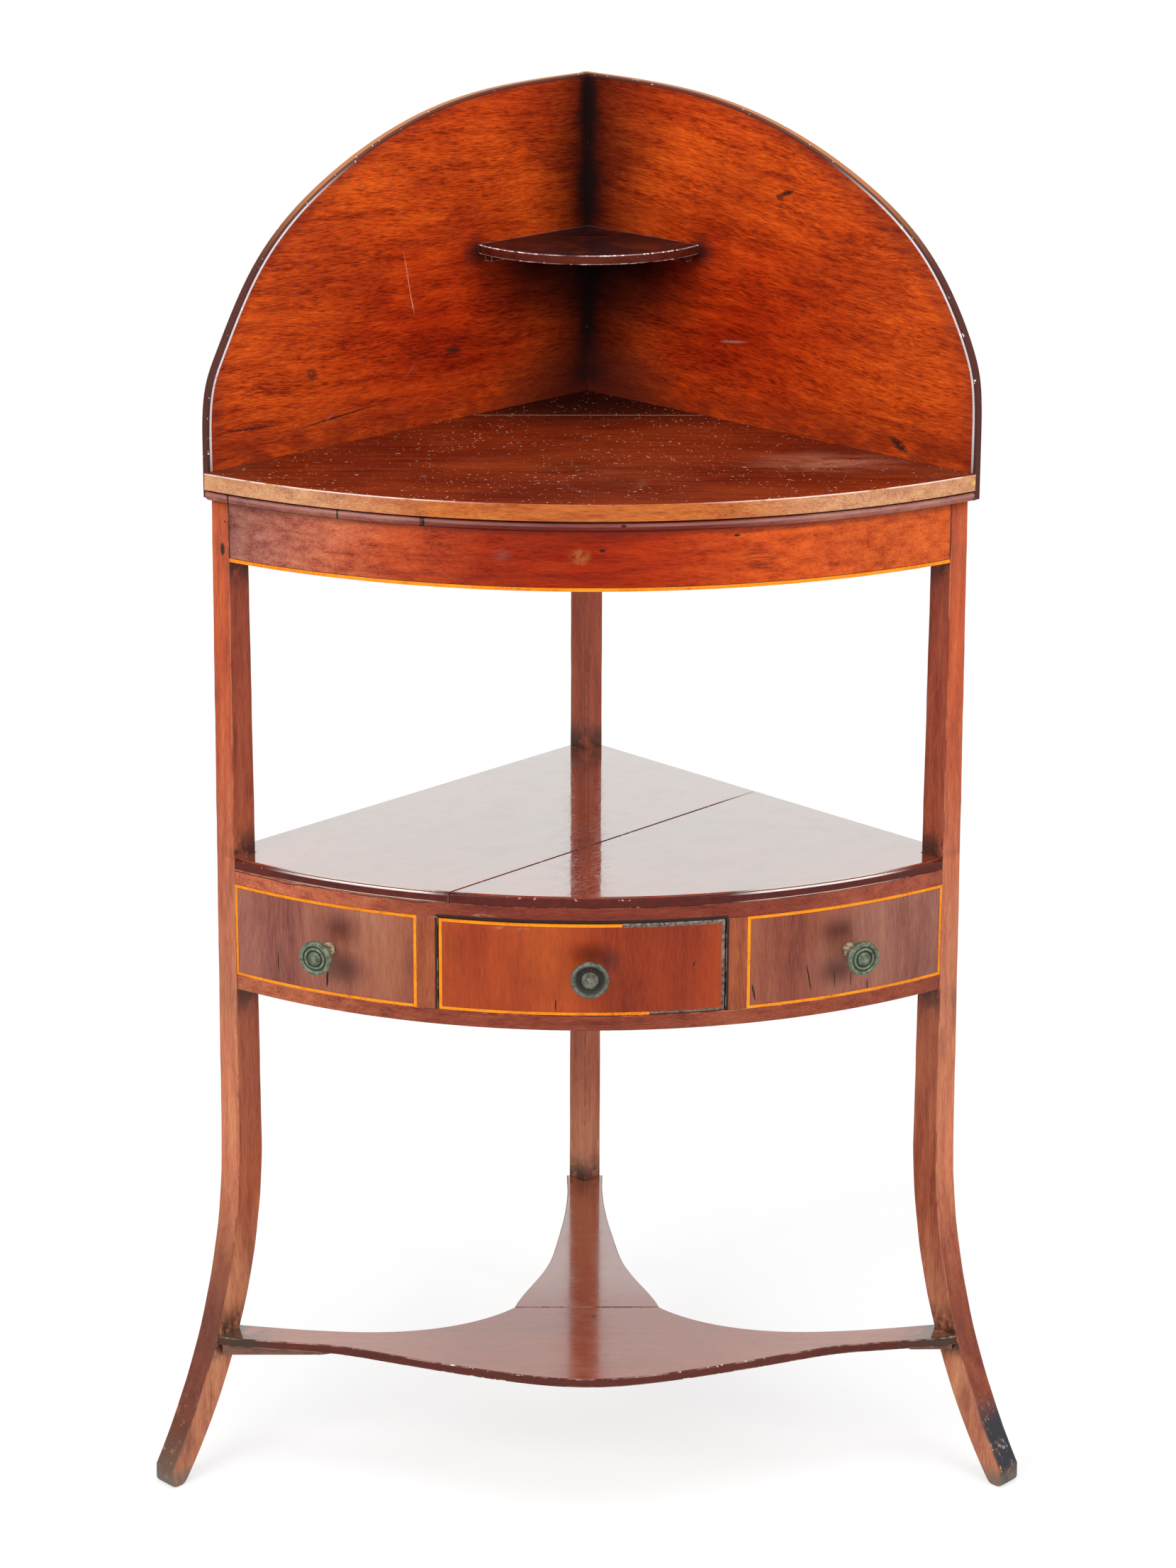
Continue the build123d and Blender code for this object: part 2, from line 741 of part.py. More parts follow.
# Drawer: lapped dovetails at the front, through dovetails at the back, and a bottom board in
# grooves. The grooves run through the middle of the lowest tails.
drawer_side_gap = 0.8
drawer_top_gap = 0.8
drawer_floor_gap = 0.4
drawer_front_depth = 18.0
drawer_side_depth = 8.0
drawer_back_depth = 8.0
drawer_side_drop = 2.8
drawer_back_drop = 3.6
drawer_bottom_depth = 5.0
groove_depth = 4.0
drawer_lap = 6.0
drawer_rear_gap = 5.0
dovetail_count = 3
dovetail_end_share = 0.7
dovetail_neck_share = 0.46
lost_top_string_x = 25.4
lost_bottom_string_x = 47.0

drawer_left = opening_left + drawer_side_gap
drawer_right = opening_right - drawer_side_gap
drawer_low = front_bottom + drawer_floor_gap
drawer_high = front_top - drawer_top_gap
drawer_side_high = drawer_high - drawer_side_drop
tail_pitch = (drawer_side_high - drawer_low) / dovetail_count
bottom_low = drawer_low + (tail_pitch - drawer_bottom_depth) / 2
bottom_high = bottom_low + drawer_bottom_depth
back_high = drawer_side_high - drawer_back_drop
widest_half = max(-drawer_left, drawer_right)
drawer_rear = corner_y - case_back_depth * root_two - widest_half - drawer_rear_gap
lap_y = drawer_centre - sqrt(drawer_radius**2 - widest_half**2) + drawer_lap

drawer_front_blank = on_front(
    drawer_low, drawer_high, drawer_front_depth, drawer_left, drawer_right
)
with BuildPart() as drawer_back_blank:
    with BuildSketch(Plane.XY.offset(bottom_high)):
        with Locations(((drawer_left + drawer_right) / 2, drawer_rear - drawer_back_depth / 2)):
            Rectangle(drawer_right - drawer_left, drawer_back_depth)
    extrude(amount=back_high - bottom_high)


def dovetails(x_low, y_end, y_neck, low, high):
    """Tails on a drawer side, wide at y_end and narrow at y_neck."""
    pitch = (high - low) / dovetail_count
    end_half = pitch * dovetail_end_share / 2
    neck_half = pitch * dovetail_neck_share / 2
    with BuildPart() as tails:
        with BuildSketch(Plane.YZ.offset(x_low)):
            for number in range(dovetail_count):
                middle = low + (number + 1 / 2) * pitch
                with BuildLine():
                    Polyline(
                        (y_end, middle - end_half), (y_end, middle + end_half),
                        (y_neck, middle + neck_half), (y_neck, middle - neck_half),
                        close=True,
                    )
                make_face()
        extrude(amount=drawer_side_depth)
    return tails


def drawer_side(x_low):
    """A drawer side, with its tails at both ends."""
    neck_y = lap_y + drawer_front_depth
    front_tails = dovetails(x_low, lap_y, neck_y, drawer_low, drawer_side_high)
    back_tails = dovetails(
        x_low, drawer_rear, drawer_rear - drawer_back_depth, bottom_high, back_high
    )
    with BuildPart() as board:
        with BuildSketch(Plane.XY.offset(drawer_low)):
            with Locations((x_low + drawer_side_depth / 2, (lap_y + drawer_rear) / 2)):
                Rectangle(drawer_side_depth, drawer_rear - lap_y)
        extrude(amount=drawer_side_high - drawer_low)
        add(drawer_front_blank.part, mode=Mode.SUBTRACT)
        add(drawer_back_blank.part, mode=Mode.SUBTRACT)
        add(front_tails.part)
        add(back_tails.part)
        add(drawer_bottom.part, mode=Mode.SUBTRACT)
    return board


with BuildPart() as drawer_bottom:
    inside_left = drawer_left + drawer_side_depth - groove_depth
    inside_right = drawer_right - drawer_side_depth + groove_depth
    with BuildSketch(Plane.XY.offset(bottom_low)):
        with Locations(((inside_left + inside_right) / 2, drawer_rear - drawer_radius / 2)):
            Rectangle(inside_right - inside_left, drawer_radius)
        with Locations((0, drawer_centre)):
            Circle(drawer_radius - drawer_front_depth + groove_depth, mode=Mode.INTERSECT)
    extrude(amount=drawer_bottom_depth)

drawer_side_left = drawer_side(drawer_left)
drawer_side_right = drawer_side(drawer_right - drawer_side_depth)
with BuildPart() as drawer_back:
    add(drawer_back_blank.part)
    add(drawer_side_left.part, mode=Mode.SUBTRACT)
    add(drawer_side_right.part, mode=Mode.SUBTRACT)

middle_stem = drawer_front_depth + nut_height
knob_middle = knob(0, middle_knob_radius, middle_stem)
knob_nut_middle = nut(0, drawer_front_depth)
drawer_groove = string_frame(drawer_low, drawer_high, drawer_left, drawer_right)
with BuildPart() as drawer_front:
    add(drawer_front_blank.part)
    add(drawer_side_left.part, mode=Mode.SUBTRACT)
    add(drawer_side_right.part, mode=Mode.SUBTRACT)
    add(drawer_bottom.part, mode=Mode.SUBTRACT)
    add(drawer_groove.part, mode=Mode.SUBTRACT)
    add(knob_middle.part, mode=Mode.SUBTRACT)
    add(knob_nut_middle.part, mode=Mode.SUBTRACT)
with BuildPart() as drawer_string:
    add(drawer_groove.part)
    for lost_x, middle in ((lost_top_string_x, drawer_high), (lost_bottom_string_x, drawer_low)):
        with Locations(((lost_x + half_width) / 2, front_y, middle)):
            Box(half_width - lost_x, 2 * half_width, front_height, mode=Mode.SUBTRACT)

# Inside the case: runners, guides, kickers and stops for the drawer, and glue blocks
runner_width = 20.0
guide_width = 9.0
guide_height = 12.0
stop_width = 16.0
stop_depth = 9.0
stop_height = 4.0
stop_gap = 0.4
stop_x = 56.0
glue_block_length = 32.0
glue_block_width = 12.0
case_block_shares = (0.25, 0.68)
top_block_shares = (0.2, 0.5, 0.8)


def case_strip(low, high, x_low, x_high):
    """A strip that runs from the back of the bowed rails to a case back."""
    room = corner_board(
        low, high, drawer_centre, drawer_radius - drawer_rail_depth, case_back_depth
    )
    with BuildPart() as strip:
        add(room.part)
        with BuildSketch(Plane.XY.offset(low)):
            with Locations(((x_low + x_high) / 2, 0)):
                Rectangle(x_high - x_low, 2 * side)
        extrude(amount=high - low, mode=Mode.INTERSECT)
    return strip


runner_left = case_strip(
    lower_rail_bottom, front_bottom, opening_left - guide_width,
    opening_left - guide_width + runner_width,
)
runner_right = case_strip(
    lower_rail_bottom, front_bottom, opening_right + guide_width - runner_width,
    opening_right + guide_width,
)
guide_left = case_strip(
    front_bottom, front_bottom + guide_height, opening_left - guide_width, opening_left
)
guide_right = case_strip(
    front_bottom, front_bottom + guide_height, opening_right, opening_right + guide_width
)
kicker_left = case_strip(
    front_top, mid_shelf_bottom, opening_left - guide_width,
    opening_left - guide_width + runner_width,
)
kicker_right = case_strip(
    front_top, mid_shelf_bottom, opening_right + guide_width - runner_width,
    opening_right + guide_width,
)


def drawer_stop(x):
    """A stop glued on the lower rail, just behind the closed drawer's front."""
    return bow_strip(
        front_bottom, front_bottom + stop_height, drawer_centre,
        drawer_radius - drawer_front_depth - stop_gap, stop_depth,
        x - stop_width / 2, x + stop_width / 2,
    )


drawer_stop_left = drawer_stop(-stop_x)
drawer_stop_right = drawer_stop(stop_x)


def glue_blocks(shares, depth, ceiling):
    """Blocks rubbed into the angle between the rails along both walls and the board above."""
    with BuildPart() as right_blocks:
        with BuildSketch(right_wall.offset(depth)):
            for share in shares:
                with Locations((share * side, ceiling - glue_block_width / 2)):
                    Rectangle(glue_block_length, glue_block_width)
        extrude(amount=glue_block_width)
    left_blocks = mirrored(right_blocks)
    with BuildPart() as blocks:
        add(right_blocks.part)
        add(left_blocks.part)
    return blocks


case_glue_blocks = glue_blocks(case_block_shares, case_back_depth, mid_shelf_bottom)
top_glue_blocks = glue_blocks(top_block_shares, top_rail_depth, top_bottom)

# Legs, cut for every tenon and for the arms' housings
with BuildPart() as front_leg_right:
    add(leg_blank_right.part)
    for piece in (top_rail_right, case_back_right, frieze_rail, lower_drawer_rail,
                  upper_drawer_rail, lower_shelf_front):
        add(piece.part, mode=Mode.SUBTRACT)
front_leg_left = mirrored(front_leg_right)
with BuildPart() as rear_leg:
    add(rear_leg_blank.part)
    rear_edges = rear_leg.edges().filter_by(Axis.Z)
    fillet(rear_edges, leg_arris)
    for piece in (top_rail_right, top_rail_left, case_back_right, case_back_left,
                  lower_shelf_rear):
        add(piece.part, mode=Mode.SUBTRACT)

for builder, label in (
    (rear_leg, "rear_leg"),
    (front_leg_left, "front_leg_left"),
    (front_leg_right, "front_leg_right"),
    (top_rail_left, "top_rail_left"),
    (top_rail_right, "top_rail_right"),
    (frieze_rail, "frieze_rail"),
    (frieze_string, "frieze_string"),
    (bead_left, "bead_left"),
    (bead_right, "bead_right"),
    (top_board_front, "top_board_front"),
    (top_board_rear, "top_board_rear"),
    (backboard_left, "backboard_left"),
    (backboard_right, "backboard_right"),
    (backboard_screws, "backboard_screws"),
    (corner_shelf, "corner_shelf"),
    (corner_cleat_left, "corner_cleat_left"),
    (corner_cleat_right, "corner_cleat_right"),
    (mid_shelf_left, "mid_shelf_left"),
    (mid_shelf_right, "mid_shelf_right"),
    (case_back_left, "case_back_left"),
    (case_back_right, "case_back_right"),
    (upper_drawer_rail, "upper_drawer_rail"),
    (lower_drawer_rail, "lower_drawer_rail"),
    (divider_left, "divider_left"),
    (divider_right, "divider_right"),
    (front_left, "fixed_front_left"),
    (front_right, "fixed_front_right"),
    (string_left, "string_left"),
    (string_right, "string_right"),
    (knob_left, "knob_left"),
    (knob_right, "knob_right"),
    (knob_nut_left, "knob_nut_left"),
    (knob_nut_right, "knob_nut_right"),
    (runner_left, "drawer_runner_left"),
    (runner_right, "drawer_runner_right"),
    (guide_left, "drawer_guide_left"),
    (guide_right, "drawer_guide_right"),
    (kicker_left, "drawer_kicker_left"),
    (kicker_right, "drawer_kicker_right"),
    (drawer_stop_left, "drawer_stop_left"),
    (drawer_stop_right, "drawer_stop_right"),
    (case_glue_blocks, "case_glue_blocks"),
    (top_glue_blocks, "top_glue_blocks"),
    (drawer_front, "drawer_front"),
    (drawer_string, "drawer_string"),
    (drawer_side_left, "drawer_side_left"),
    (drawer_side_right, "drawer_side_right"),
    (drawer_back, "drawer_back"),
    (drawer_bottom, "drawer_bottom"),
    (knob_middle, "knob_middle"),
    (knob_nut_middle, "knob_nut_middle"),
    (lower_shelf_front, "lower_shelf_front"),
    (lower_shelf_rear, "lower_shelf_rear"),
    (arm_cleat_left, "arm_cleat_left"),
    (arm_packing_upper, "arm_packing_upper"),
    (arm_packing_lower, "arm_packing_lower"),
):
    finish(builder, label)
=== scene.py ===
import math

import bmesh
import bpy
from mathutils import Matrix, Vector


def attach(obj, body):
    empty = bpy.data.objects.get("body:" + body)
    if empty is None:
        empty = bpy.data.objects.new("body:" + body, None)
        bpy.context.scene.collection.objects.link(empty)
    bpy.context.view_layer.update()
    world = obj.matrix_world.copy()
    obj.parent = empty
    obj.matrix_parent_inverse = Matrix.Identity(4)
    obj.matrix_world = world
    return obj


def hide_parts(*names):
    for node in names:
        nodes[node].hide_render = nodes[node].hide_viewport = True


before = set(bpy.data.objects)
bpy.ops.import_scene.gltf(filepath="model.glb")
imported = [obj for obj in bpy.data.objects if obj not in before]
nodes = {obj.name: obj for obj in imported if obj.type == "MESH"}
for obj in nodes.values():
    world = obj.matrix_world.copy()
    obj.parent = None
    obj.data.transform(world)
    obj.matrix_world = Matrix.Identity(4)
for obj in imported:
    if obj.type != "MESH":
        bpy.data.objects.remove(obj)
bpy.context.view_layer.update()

# Legs: three uprights of solid mahogany, square in section with worn arrises. The front pair is
# sawn from wider stuff, so that each curves out below the drawer's tier and splays along its
# wall. The rear one stands straight in the corner. Rails and shelves are tenoned into them.
mm = 0.001
root_two = math.sqrt(2)
corner_y = 13.79 * mm
side = 420 * mm
leg_lean = 4.8 * mm
leg_top = 819.2 * mm
leg_top_width = 20 * mm
leg_low_width = 22.5 * mm
sabre_start = 285 * mm
sabre_outer_radius = 505 * mm
toe_height = 15 * mm
toe_width = 13.5 * mm
toe_round = 5 * mm
toe_arris = 2.2 * mm
sole_inset = 1.6 * mm
arris = 0.9 * mm
rear_leg_width = 19.5 * mm
rear_leg_top = 827.6 * mm
rear_foot_ease = 1 * mm
rear_foot_arris = 1.6 * mm
toe_steps = 5
sabre_steps = 26
upper_steps = 30
rear_steps = 39


class Wire:
    """A socket of a finish, with the sums and the nodes that can follow from it."""

    def __init__(self, tree, socket):
        self.tree = tree
        self.socket = socket

    def node(self, kind, settings, sockets, output=0):
        """A node of any kind: its settings first, then values or wires for its sockets."""
        made = self.tree.nodes.new(kind)
        for name, value in settings.items():
            if name == "stops":
                marks = made.color_ramp.elements
                marks.remove(marks[1])
                marks[0].position = value[0][0]
                marks[0].color = (*value[0][1], 1)
                for position, colour in value[1:]:
                    marks.new(position).color = (*colour, 1)
            else:
                setattr(made, name, value)
        for name, value in sockets.items():
            if isinstance(value, Wire):
                self.tree.links.new(value.socket, made.inputs[name])
            else:
                made.inputs[name].default_value = value
        if output is None:
            return None
        return Wire(self.tree, made.outputs[output])

    def sum(self, operation, first, second=0.0):
        """Math on values, or Vector Math where a vector or a colour takes part."""
        wide = False
        for item in (first, second):
            if isinstance(item, tuple) or isinstance(item, Wire) and item.socket.type != "VALUE":
                wide = True
        if not wide:
            return self.node("ShaderNodeMath", {"operation": operation}, {0: first, 1: second})
        terms = []
        for item in (first, second):
            terms.append((item, item, item) if isinstance(item, (int, float)) else item)
        return self.node(
            "ShaderNodeVectorMath", {"operation": operation}, {0: terms[0], 1: terms[1]}
        )

    def __add__(self, other):
        return self.sum("ADD", self, other)

    def __radd__(self, other):
        return self.sum("ADD", other, self)

    def __sub__(self, other):
        return self.sum("SUBTRACT", self, other)

    def __rsub__(self, other):
        return self.sum("SUBTRACT", other, self)

    def __mul__(self, other):
        return self.sum("MULTIPLY", self, other)

    def __rmul__(self, other):
        return self.sum("MULTIPLY", other, self)

    def __abs__(self):
        return self.sum("ABSOLUTE", self)

    def part(self, axis):
        """One number of a vector."""
        return self.node("ShaderNodeSeparateXYZ", {}, {"Vector": self}, axis)

    def length(self):
        """How long a vector is."""
        return self.node("ShaderNodeVectorMath", {"operation": "LENGTH"}, {0: self}, "Value")

    def carried(self, name):
        """A number that the mesh carries at each point, such as how worn it is there."""
        return self.node(
            "ShaderNodeAttribute", {"attribute_type": "GEOMETRY", "attribute_name": name}, {}, "Fac"
        )

    def ramp(self, stops):
        """Colour from stops, each a position with its colour."""
        return self.node("ShaderNodeValToRGB", {"stops": stops}, {0: self}, 0)

    def between(self, start, end):
        """0 at start and 1 at end, with a smooth run from one to the other."""
        low, high = min(start, end), max(start, end)
        run = self.node(
            "ShaderNodeMapRange", {"interpolation_type": "SMOOTHSTEP"},
            {"Value": self, "From Min": low, "From Max": high, "To Min": 0.0, "To Max": 1.0},
        )
        return run if start < end else 1 - run

    def strip(self, start, full, fading, end):
        """1 from full to fading, and 0 before start and past end."""
        return self.between(start, full) * self.between(end, fading)

    def laid(self, at, turn=(0, 0, 0), size=(1, 1, 1)):
        """Coordinates in a frame that lies at a place, turned, with a unit of this size."""
        return self.node(
            "ShaderNodeMapping", {"vector_type": "TEXTURE"},
            {"Vector": self, "Location": at, "Rotation": turn, "Scale": size},
        )

    def noise(self, detail=3.0, roughness=0.6, output="Fac"):
        """Smooth noise with a feature for about each unit of these coordinates."""
        return self.node(
            "ShaderNodeTexNoise", {},
            {"Vector": self, "Scale": 1.0, "Detail": detail, "Roughness": roughness}, output,
        )

    def sheen(self, size, least):
        """Roughness of a hand polish, which varies a little from place to place."""
        return (self * size).noise() * 0.2 + least

    def mix(self, bare, covered):
        """Colour that goes from bare to covered as this wire goes from 0 to 1."""
        shades = {}
        for name, value in ((0, self), (6, bare), (7, covered)):
            shades[name] = (*value, 1) if isinstance(value, tuple) else value
        return self.node("ShaderNodeMix", {"data_type": "RGBA"}, shades, 2)

    def spot(self, at, size, turn=(0, 0, 0), soft=0.5):
        """1 inside an oval at a place, and 0 outside it."""
        return self.laid(at, turn, size).length().between(1.0, 1.0 - soft)


def new_finish(name, *wanted):
    """A bare material, the wire of a piece's own coordinates, and each wire wanted from it."""
    finish = bpy.data.materials.new(name)
    finish.use_nodes = True
    finish.node_tree.nodes.clear()
    places = finish.node_tree.nodes.new("ShaderNodeTexCoord")
    place = Wire(finish.node_tree, places.outputs["Object"])
    taken = [place.part(item) if item in "XYZ" else place.carried(item) for item in wanted]
    return finish, place, *taken


def close_finish(place, colour, roughness, relief, shine, metal=0.0, depth=0.05 * mm,
                 coat=None, coat_roughness=0.2, coat_bend=1.5, mirror=None):
    """End a finish in its shader: relief as a bump this deep, then a coat and a mirror if any.

    A mirror holds two numbers or wires: how strong it is, and how rough.
    """
    bump = place.node("ShaderNodeBump", {}, {"Height": relief, "Distance": depth}, "Normal")
    sockets = {
        "Base Color": colour, "Roughness": roughness, "Normal": bump,
        "Specular IOR Level": shine, "Metallic": metal,
    }
    if coat is not None:
        sockets["Coat Weight"] = coat
        sockets["Coat Roughness"] = coat_roughness
        sockets["Coat IOR"] = coat_bend
    surface = place.node("ShaderNodeBsdfPrincipled", {}, sockets)
    if mirror:
        polish = place.node("ShaderNodeBsdfPrincipled", {}, {
            "Base Color": (0.98, 0.985, 0.955, 1), "Metallic": 1.0, "Roughness": mirror[1],
            "Normal": bump,
        })
        slant = place.node("ShaderNodeLayerWeight", {}, {"Blend": 0.5}, "Facing")
        surface = place.node("ShaderNodeMixShader", {}, {
            0: slant.between(0.38, 0.76) * mirror[0], 1: surface, 2: polish,
        })
    place.node("ShaderNodeOutputMaterial", {}, {"Surface": surface}, None)


level_grain = (0, 0, 0)
upright_grain = (0, -math.pi / 2, 0)


def mahogany(place, turn, middle, shift=(0, 0, 0), sway=0.004, cloudy=0.3, ribbony=0.4,
             pores=0.35, strength=1.15):
    """Colour and relief of mahogany round its middle tone, with fibres along the turned X."""
    straight = place.laid(shift, turn)
    drift = (straight * (5, 11, 11)).noise(2.0, 0.5, "Color")
    grain = straight + (drift - 0.5) * (0.0, sway * 2, sway * 2)
    cloud = (grain * (4, 14, 14)).noise(2.0, 0.5)
    ribbon = (grain * (14, 150, 150)).noise(3.0, 0.55)
    fleck = (grain * (90, 950, 950)).noise()
    pore = (grain * (105, 1250, 1250)).noise(1.0, 0.5).between(0.57, 0.66)
    tone = cloud * cloudy + ribbon * ribbony + fleck * (1 - cloudy - ribbony)
    tone = (tone - 0.5) * strength + 0.5
    figure = tone.ramp((
        (0.34, (0.22, 0.16, 0.18)), (0.43, (0.40, 0.35, 0.36)), (0.5, (0.5, 0.5, 0.5)),
        (0.57, (0.58, 0.65, 0.63)), (0.67, (0.68, 0.90, 0.84)),
    ))
    colour = figure * 2 * middle
    colour = (pore * pores).mix(colour, colour * 0.4)
    return colour, fleck * 0.3 - pore


def shown(name, mesh, body, node, finish):
    """Set a finished mesh in the scene in place of its node, riding on its body."""
    piece = bpy.data.objects.new(name, mesh)
    bpy.context.scene.collection.objects.link(piece)
    mesh.materials.clear()
    mesh.materials.append(finish)
    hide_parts(node)
    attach(piece, body)
    return piece


def settled(name, form, modifiers):
    """A plain mesh from a bmesh form, after these modifiers with their settings.

    Its two empty slots let a bevel mark the faces that it makes.
    """
    raw = bpy.data.meshes.new(name + "_raw")
    form.to_mesh(raw)
    form.free()
    for face in raw.polygons:
        face.use_smooth = True
    raw.materials.append(None)
    raw.materials.append(None)
    holder = bpy.data.objects.new(name + "_holder", raw)
    bpy.context.scene.collection.objects.link(holder)
    for kind, settings in modifiers:
        modifier = holder.modifiers.new(kind.title(), kind)
        for setting, value in settings.items():
            if hasattr(modifier, setting):
                setattr(modifier, setting, value)
            else:
                modifier[setting] = value
    bpy.context.view_layer.update()
    ready = holder.evaluated_get(bpy.context.evaluated_depsgraph_get())
    mesh = bpy.data.meshes.new_from_object(ready)
    mesh.name = name
    bpy.data.objects.remove(holder)
    bpy.data.meshes.remove(raw)
    return mesh


def skinned(name, form, rings, modifiers):
    """A settled mesh with faces from ring to ring and one over each end."""
    for below, above in zip(rings, rings[1:]):
        for number in range(len(below)):
            follower = (number + 1) % len(below)
            form.faces.new((below[number], below[follower], above[follower], above[number]))
    form.faces.new(rings[0])
    form.faces.new(rings[-1])
    bmesh.ops.recalc_face_normals(form, faces=form.faces)
    return settled(name, form, modifiers)


def wall_point(along, inset, hand):
    """A point in plan, measured along a wall from the corner and in from it."""
    return hand * (along - inset) / root_two, corner_y - (along + inset) / root_two


def leg_mesh(name, sections, hand, outer_share):
    """A leg through its sections: height, near face, far face, depth and arris of each."""
    form = bmesh.new()
    worn = form.verts.layers.float.new("worn")
    outer = form.verts.layers.float.new("outer")
    rings = []
    for height, near, far, depth, easing in sections:
        ring = []
        for quarter, middle in enumerate((
            (far - easing, depth - easing), (near + easing, depth - easing),
            (near + easing, easing), (far - easing, easing),
        )):
            for step in range(5):
                angle = math.radians(90 * quarter + 22.5 * step)
                along = middle[0] + easing * math.cos(angle)
                inset = middle[1] + easing * math.sin(angle)
                vertex = form.verts.new((*wall_point(along, inset, hand), height))
                vertex[worn] = 0.0 if step in (0, 4) else 1.0
                vertex[outer] = max(0.0, math.cos(angle)) * outer_share
                ring.append(vertex)
        rings.append(ring)
    return skinned(name, form, rings, [("WEIGHTED_NORMAL", {"keep_sharp": True})])


def worn_arris(height, start):
    """An arris that hands and dusters have rounded more in some places than in others."""
    wave = math.sin(height * 61 + start) + math.sin(height * 147 + 2.3 * start)
    return arris * (1 + 0.22 * wave)


def front_leg_sections():
    """Sections of a front leg from the sole up, in its distance along the wall."""
    def swept(line, radius, drop):
        """Where an edge lies that leaves its straight line on an arc, this far down the arc."""
        return line + radius - math.sqrt(radius**2 - drop**2)

    outer_line = side + leg_lean
    inner_line = side - leg_top_width
    toe = swept(outer_line, sabre_outer_radius, sabre_start - toe_height)
    inner_splay = toe - toe_width - inner_line
    inner_radius = (inner_splay**2 + sabre_start**2) / (2 * inner_splay)
    sections = []
    for step in range(toe_steps + 1):
        height = toe_round * (1 - math.cos(math.pi / 2 * step / toe_steps))
        drawn_in = toe_round - math.sqrt(toe_round**2 - (toe_round - height)**2)
        near = swept(inner_line, inner_radius, sabre_start - height)
        sole = sole_inset * (1 - step / toe_steps)**2
        sections.append((height, near + sole, toe - drawn_in, leg_low_width - sole, toe_arris))
    for step in range(1, sabre_steps + 1):
        height = toe_round + (sabre_start - toe_round) * step / sabre_steps
        far = swept(outer_line, sabre_outer_radius, sabre_start - max(height, toe_height))
        near = swept(inner_line, inner_radius, sabre_start - height)
        easing = max(worn_arris(height, 1.0), toe_arris - height * 0.02)
        sections.append((height, near, far, leg_low_width, easing))
    for step in range(1, upper_steps + 1):
        share = step / upper_steps
        height = sabre_start + (leg_top - sabre_start) * share
        depth = leg_low_width + (leg_top_width - leg_low_width) * share
        far = side + leg_lean * (1 - share)
        sections.append((height, inner_line, far, depth, worn_arris(height, 1.0)))
    return sections


def rear_leg_sections():
    """Sections of the straight rear leg, with the same worn arrises."""
    foot_width = rear_leg_width - rear_foot_ease
    sections = [(0.0, rear_foot_ease, foot_width, foot_width, rear_foot_arris)]
    for step in range(rear_steps + 1):
        height = rear_foot_ease + (rear_leg_top - rear_foot_ease) * step / rear_steps
        sections.append((height, 0.0, rear_leg_width, rear_leg_width, worn_arris(height, 4.0)))
    return sections


leg_finish, place, height, across, outer, rubbed = new_finish(
    "leg_mahogany", "Z", "X", "outer", "worn"
)
# Lower down, the legs are painted paler and less red: a painted reflection of the pale floor in
# their polish.
lower = height.between(0.72, 0.38)
outer_tone = lower.mix((0.50, 0.084, 0.022), (0.45, 0.138, 0.065))
inner_tone = lower.mix((0.32, 0.062, 0.028), (0.34, 0.082, 0.036))
splay_tone = height.between(0.24, 0.13).mix(inner_tone, (0.47, 0.17, 0.085))
foot_tone = across.between(-0.01, 0.01).mix((0.16, 0.036, 0.017), (0.25, 0.050, 0.019))
outer_tone = height.between(0.42, 0.34).mix(outer_tone, (0.53, 0.155, 0.068))
outer_tone = height.between(0.27, 0.13).mix(outer_tone, foot_tone)
middle = outer.mix(splay_tone, outer_tone)
colour, relief = mahogany(
    place, upright_grain, middle, sway=0.003, cloudy=0.25, ribbony=0.4, pores=0.25,
    strength=0.9,
)
patch = (place * 38).noise(4.0, 0.65)
colour = (rubbed * patch.between(0.44, 0.58) * 0.6).mix(colour, (0.42, 0.17, 0.085))
colour = (rubbed * patch.between(0.5, 0.4) * 0.5).mix(colour, (0.07, 0.02, 0.014))
smoke = (place * (30, 30, 9)).noise(4.0, 0.6).between(0.56, 0.75)
colour = (smoke * 0.4).mix(colour, (0.08, 0.016, 0.01))
inward = 1 - outer
grime = (place * (55, 55, 42)).noise(4.0, 0.7)
joints = height.between(0.745, 0.768) * 0.9 + height.strip(0.525, 0.528, 0.529, 0.56)
joints += height.strip(0.385, 0.41, 0.414, 0.418) * 0.8
joints += height.strip(0.095, 0.112, 0.123, 0.15)
stained = joints * (inward * 0.8 + 0.2) * grime.between(0.36, 0.55)
colour = (stained * 0.9).mix(colour, (0.02, 0.008, 0.006))
left_toe = height.between(0.095, 0.02) * outer * (grime * 0.6 + 0.55)
right_toe = height.between(0.075, 0.045) * outer * across.between(0.0, 0.01)
black = (place * (60, 60, 30)).noise(4.0, 0.7)
colour = (left_toe * 0.8).mix(colour, height.between(0.05, 0.015).mix(
    (0.12, 0.035, 0.018), (0.11, 0.085, 0.055)
))
colour = (right_toe * black.between(0.22, 0.42)).mix(colour, (0.022, 0.022, 0.03))
scuffed = right_toe * (place * (150, 150, 90)).noise(4.0, 0.7).between(0.56, 0.66)
colour = (scuffed * 0.8).mix(colour, (0.40, 0.37, 0.37))
sole_grey = height.between(0.02, 0.006) * black.between(0.3, 0.5)
colour = (sole_grey * 0.8).mix(colour, (0.15, 0.12, 0.09))
chipped = height.between(0.1, 0.03) * (place * 170).noise().between(0.6, 0.65)
chipped *= rubbed * 0.7 + 0.3
colour = chipped.mix(colour, (0.62, 0.25, 0.08))
scar = place.spot((-0.2897, -0.294, 0.7811), (0.0045, 0.0045, 0.009), soft=0.5)
hole_high = place.spot((-0.2861, -0.2976, 0.8038), (0.0014, 0.006, 0.0016))
hole_low = place.spot((-0.2965, -0.283, 0.470), (0.0016, 0.006, 0.0022))
knot = place.spot((0.3122, -0.2715, 0.113), (0.003, 0.006, 0.006), soft=0.8)
